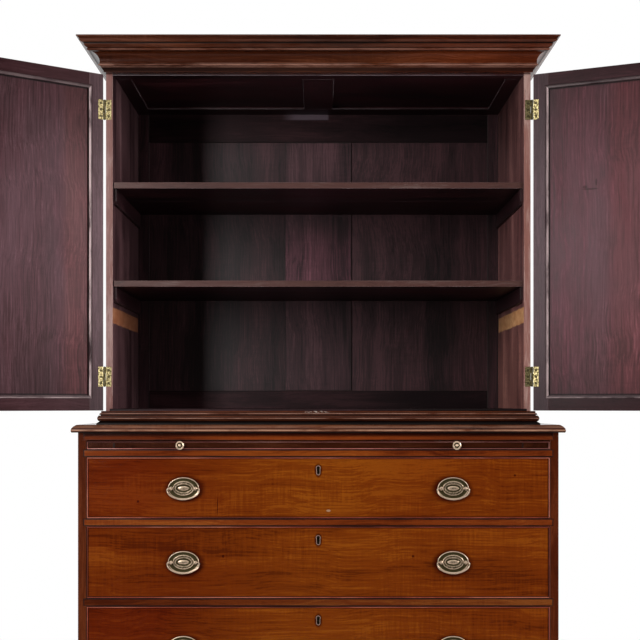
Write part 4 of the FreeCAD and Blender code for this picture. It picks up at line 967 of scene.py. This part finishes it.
def brass_finish(settings, name, brass, factor, roughness, tarnish, metallic, mottle):
    """Cast or rolled brass, bright where it is rubbed and dark in its hollows and in spots."""
    _, net, shader = new_material(name)
    space = net.group("Board space")
    spots = net.figure(space["Grain"], (260.0, 260.0, 260.0), 4.0, 0.65)
    hollow = net.sub(net.mul(spots, 0.7), space["Relief"])
    old = net.mul(net.ramp(hollow, *mottle), tarnish)
    base = net.mix(old, times(getattr(settings, brass), factor), settings.patina)
    rough = net.add(roughness, net.mul(old, 0.3))
    bump = net.bump(spots, 0.2, 0.15 * MM)
    net.feed(shader, {"Base Color": base, "Roughness": rough, "Normal": bump, "Metallic": metallic})


# ---------------------------------------------------------------- which finish a face has


def side_finish(face):
    """Outside, inside or front edge of a side."""
    middle = face.calc_center_median()
    if face.normal.y < -0.5:
        return 2
    inside = abs(middle.x) < CUPBOARD_INSIDE and abs(face.normal.x) > 0.5
    return 1 if inside and face.normal.x * middle.x < 0 else 0


def shelf_finish(face):
    """The rubbed front edge, the underside with painted shade, or the top of a shelf."""
    if face.normal.y < -0.5:
        return 1
    return 2 if face.normal.z < -0.5 else 0


def outside_finish(face):
    """The bare outside of the back and the ceiling, or their polished inside."""
    return 1 if max(face.normal.y, face.normal.z) > 0.7 else 0


def back_finish(face):
    """The bare outside, the dark rails with painted shade at the head, the paler muntin with painted light in the
    middle bay, or the rest of the back's frame.
    """
    middle = face.calc_center_median()
    if outside_finish(face):
        return 1
    if not MUNTIN_FOOT < middle.z < MUNTIN_TOP:
        return 2
    return 3 if abs(middle.x) < MUNTIN_REACH else 0


def rail_finish(face):
    """The frieze over the slide, or the other rails."""
    return 1 if face.calc_center_median().z > FRIEZE_FOOT else 0


def crest_finish(face):
    """The crest of a bead, paler with rubbing and a painted highlight, or its sides."""
    return 1 if face.normal.y < -0.9 else 0


def leaf_finish(face):
    """The flat of a leaf, or its edges and knuckles, where the polish is never reached."""
    return 0 if face.calc_area() > LEAF_FLAT else 1


CEILING = (outside_finish, "dark_inside_mahogany", "bare_mahogany")
SHELF = (shelf_finish, "inside_mahogany", "shelf_edge_mahogany", "dark_inside_mahogany")
CUPBOARD_BOARDS = (
    ("cupboard_sides", side_finish, "case_mahogany", "wall_mahogany", "edge_mahogany"),
    ("cupboard_floor", None, "low_inside_mahogany"),
    ("ceiling_frame", *CEILING),
    ("ceiling_panels", *CEILING),
    ("back_frame", back_finish, "inside_mahogany", "bare_mahogany", "low_inside_mahogany", "muntin_mahogany"),
    ("back_panels", outside_finish, "inside_mahogany", "bare_mahogany"),
    ("shelf_lower", *SHELF),
    ("shelf_upper", *SHELF),
    ("shelf_bearers", None, "inside_mahogany"),
)
HIDDEN_BOARDS = (
    "cornice_frame", "chest_bottom", "dust_boards", "drawer_runners", "drawer_stops", "chest_back", "foot_blocks"
)
BEAD_WOODS = ("bead_mahogany", "crest_mahogany")


# ---------------------------------------------------------------- operators


class PRESS_OT_cupboard(bpy.types.Operator):
    """Makes the boards of the cupboard"""

    bl_idname = "press.cupboard"
    bl_label = "Cupboard boards"

    def execute(self, context):
        for node, choose, *woods in CUPBOARD_BOARDS:
            ease(context.scene.press_shapes.board_edge, woods, node, choose=choose)
        return {"FINISHED"}


class PRESS_OT_chest(bpy.types.Operator):
    """Makes the chest's own boards and the boards that don't show"""

    bl_idname = "press.chest"
    bl_label = "Chest boards"

    def execute(self, context):
        edge = context.scene.press_shapes.board_edge
        ease(edge, ["case_mahogany"], "chest_sides", "chest_top")
        ease(edge, ["rail_mahogany", "frieze_mahogany"], "front_rails", choose=rail_finish)
        ease(edge, ["plain_oak"], *HIDDEN_BOARDS)
        return {"FINISHED"}


class PRESS_OT_cornice(bpy.types.Operator):
    """Runs the cornice moulding: cyma, ovolo, bead, deep cove, bead and a small ogee"""

    bl_idname = "press.cornice"
    bl_label = "Cornice"

    def execute(self, context):
        shapes = context.scene.press_shapes
        names = ("run_cornice_moulding", "cornice_moulding", "cornice_mahogany")
        run_moulding(*names, CORNICE, shapes, FRONT_BEHIND, from_top=True)
        return {"FINISHED"}


class PRESS_OT_waist(bpy.types.Operator):
    """Runs the waist moulding and the thumb-moulded edge of the chest's top"""

    bl_idname = "press.waist"
    bl_label = "Waist and top edge"

    def execute(self, context):
        shapes = context.scene.press_shapes
        run_moulding("run_waist_moulding", "waist_moulding", "waist_mahogany", WAIST, shapes, FRONT_BEHIND)
        run_moulding("run_top_edge", "chest_top_moulding", "top_edge_mahogany", TOP_EDGE, shapes)
        return {"FINISHED"}


class PRESS_OT_base(bpy.types.Operator):
    """Runs the base moulding and eases the bracket feet"""

    bl_idname = "press.base"
    bl_label = "Base and feet"

    def execute(self, context):
        shapes = context.scene.press_shapes
        run_moulding("run_base_moulding", "base_moulding", "case_mahogany", BASE, shapes)
        ease(shapes.board_edge, ["case_mahogany"], "bracket_feet")
        return {"FINISHED"}


def opened(side):
    """The turn that takes a closed door's point to where the open door has it."""
    joint = JOINTS[f"door_{side}_hinge"]
    at = Vector(joint["pos_m"])
    turn = Matrix.Rotation(math.radians(-joint["range_deg"][0]), 4, Vector(joint["axis"]))
    return Matrix.Translation(at) @ turn @ Matrix.Translation(-at)


class PRESS_OT_doors(bpy.types.Operator):
    """Makes the doors: frames, panels, beads and the meeting bead"""

    bl_idname = "press.doors"
    bl_label = "Doors"

    def execute(self, context):
        shapes = context.scene.press_shapes
        low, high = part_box("door_left_frame")
        for side in SIDES:
            shut = opened(side).inverted().to_3x3()

            def front_finish(face):
                """The front of a door, or its inside and edges."""
                return 1 if (shut @ face.normal).y < -0.5 else 0

            def frame_finish(face):
                """The front, the inside of a rail with painted shade, or the inside of a stile."""
                z = face.calc_center_median().z
                return front_finish(face) or (2 if min(z - low.z, high.z - z) < DOOR_RAIL else 0)

            woods = ("door_mahogany", "door_front_mahogany", "door_rail_mahogany")
            ease(shapes.board_edge, woods, f"door_{side}_frame", choose=frame_finish)
            woods = ("panel_mahogany", "door_front_mahogany")
            ease(shapes.board_edge, woods, f"door_{side}_panel", choose=front_finish)
            beads = door_beads(side, shapes)
            dress(beads.make(["door_bead_mahogany", "door_front_mahogany"]), f"door_{side}_beads")
        ease(shapes.strip_edge, ["door_front_mahogany"], "door_right_astragal")
        ease(shapes.brass_edge, ["old_brass"], "door_right_lock")
        return {"FINISHED"}


def closed_box(node, side):
    """The lowest and highest corners that a door's node has while the door is closed."""
    back = opened(side).inverted()
    return bounds([back @ corner.co for corner in frame["nodes"][node].data.vertices])


def door_beads(side, shapes):
    """The rounded bead that holds a door's panel in its rebate, and the moulding round the panel's face."""
    low, high = closed_box(f"door_{side}_beads", side)
    face, inside = (corner.y for corner in closed_box(f"door_{side}_panel", side))
    front, back = closed_box(f"door_{side}_frame", side)[0].y, high.y
    wide, lap, raised = 9 * MM, 2.5 * MM, 0.8 * MM
    # The tones paint a highlight on the bead's crest and shade in its quirks, beside its rubbing and wax
    bead = [
        (0, inside),
        (0, back - 1.6 * MM, 0, -1),
        (1 * MM, back - 1.6 * MM, 1.55 * MM, 0.8),
        (wide, back - 1.9 * MM, 0, -0.7),
        (wide, inside),
        (0, inside),
    ]
    moulding = [
        (lap, face),
        (lap, front),
        (0, front),
        (0, front - raised, -1.2 * MM, 0.3),
        (lap + 3.5 * MM, front - raised),
        (lap + 3.5 * MM, front + 0.6 * MM, 0, -0.5),
        (lap + 9 * MM, front + 2.2 * MM, -0.6 * MM),
        (lap + 12 * MM, face - 1 * MM),
        (lap + 12 * MM, face),
        (lap, face),
    ]
    piece = Piece(f"run_door_beads_{side}")
    step = wide - lap
    lapped = ((low.x + step, low.z + step), (high.x - step, high.z - step))
    mitred_frame(piece, bead, (low.x, low.z), (high.x, high.z), opened(side), shapes, BEAD_RUBBING_AND_HIGHLIGHT)
    mitred_frame(piece, moulding, *lapped, opened(side), shapes, finish=1)
    return piece


def screw_tree():
    """Slotted screw heads, one on each point of a mesh, facing along the point's own direction."""
    floats = ["Head radius", "Head height", "Slot width"]
    inputs = {"Geometry": ["Points"], "Float": floats, "Int": ["Seed"], "Material": ["Finish"]}
    net, given = new_tree("Slotted screws", "GeometryNodeTree", inputs, {"Geometry": ["Screws"]})
    radius, height = given["Head radius"], given["Head height"]
    head = net.node("GeometryNodeMeshCylinder", {"Vertices": HEAD_SIDES, "Radius": radius, "Depth": height})
    size = net.join(net.mul(radius, 3.0), given["Slot width"], height)
    slot = net.node("GeometryNodeMeshCube", {"Size": size}).outputs[0]
    lift = net.join(z=net.mul(height, 0.6))
    raised = net.node("GeometryNodeTransform", {"Geometry": slot, "Translation": lift}).outputs[0]
    solids = {"Mesh 1": head.outputs["Mesh"], "Mesh 2": raised}
    cut = net.node("GeometryNodeMeshBoolean", solids, operation="DIFFERENCE").outputs[0]
    facing = net.node("GeometryNodeInputNamedAttribute", {"Name": "facing"}, data_type="FLOAT_VECTOR").outputs[0]
    aim = net.node("FunctionNodeAlignRotationToVector", {"Vector": facing}, axis="Z").outputs[0]
    turns = {2: 0.0, 3: math.pi, "Seed": given["Seed"]}
    spin = net.join(z=net.node("FunctionNodeRandomValue", turns, data_type="FLOAT").outputs[1])
    turn = net.node("FunctionNodeEulerToRotation", {0: spin}).outputs[0]
    both = net.node("FunctionNodeRotateRotation", {0: aim, 1: turn}, rotation_space="LOCAL").outputs[0]
    inputs = {"Points": given["Points"], "Instance": cut, "Rotation": both}
    placed = net.node("GeometryNodeInstanceOnPoints", inputs).outputs[0]
    real = net.node("GeometryNodeRealizeInstances", {"Geometry": placed}).outputs[0]
    painted = net.node("GeometryNodeSetMaterial", {"Geometry": real, "Material": given["Finish"]}).outputs[0]
    net.node("NodeGroupOutput", {"Screws": painted})
    return net.tree


def screws(name, tree, places, facing, body, shapes):
    """A mesh of screw heads from the tree, riding on one body."""
    mesh = bpy.data.meshes.new(name)
    mesh.from_pydata([tuple(place) for place in places], [], [])
    layer = mesh.attributes.new("facing", "FLOAT_VECTOR", "POINT")
    layer.data.foreach_set("vector", [number for _ in places for number in facing])
    thing = new_object(name, mesh)
    modifier = thing.modifiers.new("Slotted screws", "NODES")
    modifier.node_group = tree
    values = {
        "Head radius": shapes.screw_radius,
        "Head height": HEAD_HEIGHT,
        "Slot width": shapes.screw_slot,
        "Seed": SCREW_SEED,
        "Finish": finish("old_brass"),
    }
    for item in tree.interface.items_tree:
        if item.in_out == "INPUT" and item.name in values:
            modifier[item.identifier] = values[item.name]
    thing.update_tag()
    apply_modifiers(thing)
    dress(thing, slot="brass", body=body)


class PRESS_OT_hinges(bpy.types.Operator):
    """Makes the hinges, their pins and their screws"""

    bl_idname = "press.hinges"
    bl_label = "Hinges"

    def execute(self, context):
        shapes = context.scene.press_shapes
        nodes = ("hinge_case_leaves", "hinge_pins", "door_left_hinge_leaves", "door_right_hinge_leaves")
        ease(shapes.brass_edge, ["hinge_brass", "old_brass"], *nodes, choose=leaf_finish)
        low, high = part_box("hinge_case_leaves")
        middle = high.x - LEAF_SET_IN + LEAF_WIDTH / 2
        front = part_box("cupboard_sides")[0].y
        tree = screw_tree()
        case_places, door_places = [], {side: [] for side in SIDES}
        for z in (low.z + LEAF_LENGTH / 2, high.z - LEAF_LENGTH / 2):
            for step in (-SCREW_PITCH, 0.0, SCREW_PITCH):
                for side, sign in SIDES.items():
                    case_places.append(Vector((sign * middle, front, z + step)))
                    pin = JOINTS[f"door_{side}_hinge"]["pos_m"][1]
                    closed = Vector((sign * middle, pin - LEAF_BACK, z + step))
                    door_places[side].append(opened(side) @ closed)
        screws("hinge_screws_case", tree, case_places, Vector((0, -1, 0)), "case", shapes)
        for side in SIDES:
            facing = opened(side).to_3x3() @ Vector((0, 1, 0))
            screws(f"hinge_screws_{side}", tree, door_places[side], facing, f"door_{side}", shapes)
        return {"FINISHED"}


class PRESS_OT_slide(bpy.types.Operator):
    """Makes the brushing slide, its beads and its knobs"""

    bl_idname = "press.slide"
    bl_label = "Brushing slide"

    def execute(self, context):
        shapes = context.scene.press_shapes
        ease(shapes.board_edge, ["slide_mahogany"], "slide_board")
        ease(shapes.strip_edge, BEAD_WOODS, "slide_beads", choose=crest_finish)
        low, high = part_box("slide_knobs")
        radius = (high.z - low.z) / 2
        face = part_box("slide_board")[0].y
        piece = Piece("turned_slide_knobs")
        for x in (low.x + radius, high.x - radius):
            spun(piece, KNOB, Vector((x, face, (low.z + high.z) / 2)), KNOB_SIDES)
        dress(piece.make(["handle_brass"], weighted=False), "slide_knobs")
        return {"FINISHED"}


class PRESS_OT_drawers(bpy.types.Operator):
    """Makes the drawers: fronts, sides, bottoms and cock beads"""

    bl_idname = "press.drawers"
    bl_label = "Drawers"

    def execute(self, context):
        shapes = context.scene.press_shapes
        for drawer in DRAWERS:
            ease(shapes.board_edge, ["drawer_mahogany"], f"drawer_{drawer}_front")
            ease(shapes.board_edge, ["plain_oak"], f"drawer_{drawer}_carcass", f"drawer_{drawer}_boards")
            ease(shapes.strip_edge, BEAD_WOODS, f"drawer_{drawer}_cock_beads", choose=crest_finish)
        return {"FINISHED"}


def arcs(*parts, steps):
    """The points (x, z) of arcs, each from its centre, radius and first and last turn."""
    points = []
    for (x, z), radius, start, end in parts:
        for i in range(steps + 1):
            turn = start + (end - start) * i / steps
            points.append((x + radius * math.cos(turn), z + radius * math.sin(turn)))
    return points


def keyhole_points(width, height):
    """The outline of a keyhole: a round top over a narrower round foot."""
    top, foot = width / 2, width * 0.42
    neck = math.acos(foot / top)
    lower = ((0.0, foot - height / 2), foot, math.pi, 2 * math.pi)
    upper = ((0.0, height / 2 - top), top, -neck, math.pi + neck)
    return arcs(lower, upper, steps=10)


def keyhole_lining(piece, place):
    """A thin lining let in round a keyhole, its front edge slightly rounded."""
    outer = keyhole_points(KEYHOLE_WIDTH, KEYHOLE_HEIGHT)
    inner = keyhole_points(KEYHOLE_WIDTH - 2 * LINING_WALL, KEYHOLE_HEIGHT - 2 * LINING_WALL)
    rings = []
    for share, back, _ in LINING:
        y = place.y - LINING_PROUD + (LINING_DEPTH if back is None else back * MM)
        rings.append([
            Vector((place.x + (x0 + (x1 - x0) * share), y, place.z + (z0 + (z1 - z0) * share)))
            for (x0, z0), (x1, z1) in zip(outer, inner)
        ])
    piece.add_rings(rings, [worn for _, _, worn in LINING], 0.3, closed=True)


def central(low, high):
    """Whether a solid is in the middle of the press."""
    return abs(low.x + high.x) < 1 * MM


def is_lock(low, high):
    return central(low, high) and high.z - low.z > LOCK_SHORTEST


def keyhole_place(node, face):
    """The middle of a drawer's keyhole, from its lining's solid."""
    for _, low, high in solids_of(node)[0]:
        if central(low, high) and high.z - low.z < LINING_TALLEST:
            return Vector((0, face, (low.z + high.z) / 2))
    raise RuntimeError(f"{node} has no keyhole lining")


def bail_line(half, drop, bend, shoulder):
    """The bail's centre line from its left pivot round to its right one, as (x, z) from between them."""
    depth, run = drop - bend, half - shoulder
    lift = (run**2 - (depth - shoulder) ** 2) / (2 * (depth - shoulder))
    sweep = math.atan2(run, lift)
    down = 1.5 * math.pi
    points = arcs(
        ((bend - half, -bend), bend, math.pi / 2, math.pi),
        ((-run, -bend), shoulder, math.pi, down - sweep),
        ((0, lift - bend), depth + lift, down - sweep, down),
        steps=9,
    )
    return points + [(-x, z) for x, z in reversed(points[:-1])]


def cast_bail(piece, pivot):
    """The bail, thickest at the bottom of its sweep, with its pins turned in to the posts."""
    line = bail_line(41.5 * MM, 27.8 * MM, 3.5 * MM, 17 * MM)
    lowest = min(z for _, z in line)
    first, last = (pivot + Vector((sign * PIN_X, 0, 0)) for sign in SIDES.values())
    points = [first] + [pivot + Vector((x, 0, z)) for x, z in line] + [last]
    radii = [PIN_RADIUS] + [(1.5 + 1.1 * (z / lowest) ** 1.5) * MM for _, z in line] + [PIN_RADIUS]
    rings = []
    for i, (point, radius) in enumerate(zip(points, radii)):
        before, after = points[max(i - 1, 0)], points[min(i + 1, len(points) - 1)]
        along = (after - before).normalized()
        across = Vector((along.z, 0, -along.x))
        turns = [2 * math.pi * k / BAIL_SIDES for k in range(BAIL_SIDES)]
        rings.append([
            point + across * radius * math.cos(turn) + Vector((0, radius * math.sin(turn), 0)) for turn in turns
        ])
    piece.add_rings(rings, [0.7] * len(rings), place_seed(piece.name, points[len(points) // 2]))


def handle_plate(piece, place, sides):
    """An oval plate, cast with its rim, ring and boss."""
    rings = [oval(place, width, height, out, sides, MM) for width, height, out, _ in PLATE]
    piece.add_rings(rings, [worn for *_, worn in PLATE], place_seed(piece.name, place))


class PRESS_OT_brasses(bpy.types.Operator):
    """Makes the oval handles with their posts and bails, the keyhole linings and the locks"""

    bl_idname = "press.brasses"
    bl_label = "Handles and keyholes"

    def execute(self, context):
        shapes = context.scene.press_shapes
        for drawer in DRAWERS:
            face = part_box(f"drawer_{drawer}_front")[0].y
            node, body = f"drawer_{drawer}_brasses", f"drawer_{drawer}"
            plates = Piece(f"handle_plates_{drawer}")
            for side in SIDES:
                x, pivot_y, z = JOINTS[f"bail_{drawer}_{side}_swings"]["pos_m"]
                handle_plate(plates, Vector((x, face, z)), shapes.round_sides)
                for way in SIDES.values():
                    spun(plates, POST, Vector((x + way * POST_X, face, z)), POST_SIDES)
                bail = Piece(f"cast_bail_{drawer}_{side}")
                cast_bail(bail, Vector((x, pivot_y, z)))
                dress(bail.make(["handle_brass"], weighted=False), f"bail_{drawer}_{side}")
            dress(plates.make(["handle_brass"], weighted=False), node)
            lining = Piece(f"keyhole_lining_{drawer}")
            keyhole_lining(lining, keyhole_place(node, face))
            dress(lining.make(["dull_brass"]), slot="brass", body=body)
            lock = eased_board(node, shapes.brass_edge, ["old_brass"], keep=is_lock)
            lock.name = f"drawer_lock_{drawer}"
            dress(lock, slot="brass", body=body)
        return {"FINISHED"}


class PRESS_OT_stage(bpy.types.Operator):
    """Sets the floor, the light and the camera"""

    bl_idname = "press.stage"
    bl_label = "Stage"

    def execute(self, context):
        scene, settings = context.scene, context.scene.press_stage
        scene.view_settings.view_transform = "Standard"
        floor_mesh = bpy.data.meshes.new("floor")
        reach = 9.0
        corners = [(-reach, -reach, 0), (reach, -reach, 0), (reach, reach, 0), (-reach, reach, 0)]
        floor_mesh.from_pydata(corners, [], [(0, 1, 2, 3)])
        floor_mesh.materials.append(studio_floor(settings.floor))
        new_object("floor", floor_mesh)
        studio_world(scene)
        target = Vector((0, 0, 1.1))
        softbox("key_left", Vector((-1.72, -2.75, 1.65)), target, (0.4, 1.4), 60.0)
        softbox("key_right", Vector((3.0, -1.35, 1.65)), target, (0.9, 1.4), 80.0)
        softbox("rear", Vector((0.0, 3.6, 2.6)), target, (2.4, 2.4), 60.0)
        camera = new_object("camera", bpy.data.cameras.new("camera"))
        camera.data.lens = settings.lens
        camera.data.shift_x, camera.data.shift_y = settings.shift
        camera.location = (0, -settings.distance, settings.height)
        camera.rotation_euler = (math.radians(90), 0, 0)
        scene.camera = camera
        return {"FINISHED"}


def softbox(name, place, target, size, power):
    """A soft lamp, so wide and so high, that points at the target."""
    data = bpy.data.lights.new(name, "AREA")
    data.shape = "RECTANGLE"
    (data.size, data.size_y), data.energy = size, power
    lamp = new_object(name, data)
    lamp.location = place
    lamp.rotation_euler = (target - place).to_track_quat("-Z", "Y").to_euler()


def seen_directly(net):
    """1 for what the camera sees, also in a mirror or through glass, and 1 for what it sees only that way."""
    path = net.node("ShaderNodeLightPath").outputs
    mirrored = net.most(path["Is Glossy Ray"], path["Is Transmission Ray"])
    return net.most(path["Is Camera Ray"], mirrored), mirrored


def studio_floor(tint):
    """A pale floor that shows the shadow of the press and passes into the white background round it."""
    material, net, shader = new_material("floor")
    net.feed(shader, {"Base Color": tint, "Roughness": 0.7})
    place = net.vector("MULTIPLY", net.where(), (0.8, 1.0, 0.0))
    away = net.vector("LENGTH", place, output="Value")
    seen, mirrored = seen_directly(net)
    front = net.ramp(net.split(place)[1], 0.3, -0.3)
    tone = net.mix(net.mul(mirrored, front), WHITE, STUDIO_DIM)
    white = net.node("ShaderNodeEmission", {"Color": tone}).outputs[0]
    share = net.mul(net.ramp(away, 0.75, 1.35), seen)
    both = net.node("ShaderNodeMixShader", {0: share, 1: shader.outputs[0], 2: white}).outputs[0]
    net.feed(net.tree.nodes["Material Output"], {"Surface": both})
    return material


def studio_world(scene):
    """A white background, which glossy surfaces see beside and behind the press, and a soft grey for the rest."""
    world = scene.world = bpy.data.worlds.new("studio")
    world.use_nodes = True
    net = Net(world.node_tree)
    _, forward, up = net.split(net.node("ShaderNodeTexCoord").outputs["Generated"])
    behind = net.most(net.ramp(forward, -0.3, 0.3), net.ramp(up, 0.55, 0.85))
    seen, mirrored = seen_directly(net)
    shade = net.mix(seen, (0.24, 0.24, 0.25), WHITE)
    shade = net.mix(mirrored, shade, net.mix(behind, STUDIO_DIM, WHITE))
    net.feed(world.node_tree.nodes["Background"], {"Color": shade})


# ---------------------------------------------------------------- the add-on


class PRESS_PT_pieces(bpy.types.Panel):
    """Lists the press's pieces in the sidebar"""

    bl_label = "Linen Press"
    bl_idname = "PRESS_PT_pieces"
    bl_space_type = "VIEW_3D"
    bl_region_type = "UI"
    bl_category = "Linen Press"

    def draw(self, context):
        for name, kind in SETTINGS.items():
            column = self.layout.column()
            for value in kind.__annotations__:
                column.prop(getattr(context.scene, name), value)
        for operator in OPERATORS:
            self.layout.operator(operator.bl_idname)


OPERATORS = (
    PRESS_OT_cupboard,
    PRESS_OT_cornice,
    PRESS_OT_waist,
    PRESS_OT_doors,
    PRESS_OT_hinges,
    PRESS_OT_chest,
    PRESS_OT_base,
    PRESS_OT_slide,
    PRESS_OT_drawers,
    PRESS_OT_brasses,
    PRESS_OT_stage,
)
SETTINGS = {"press_shapes": PressShapes, "press_finishes": PressFinishes, "press_stage": PressStage}
CLASSES = (*SETTINGS.values(), *OPERATORS, PRESS_PT_pieces)


def register():
    for thing in CLASSES:
        bpy.utils.register_class(thing)
    for name, kind in SETTINGS.items():
        setattr(bpy.types.Scene, name, PointerProperty(type=kind))


def unregister():
    for name in SETTINGS:
        delattr(bpy.types.Scene, name)
    for thing in reversed(CLASSES):
        bpy.utils.unregister_class(thing)


def main():
    register()
    for operator in OPERATORS:
        category, name = operator.bl_idname.split(".")
        getattr(getattr(bpy.ops, category), name)()


if __name__ == "__main__":
    main()
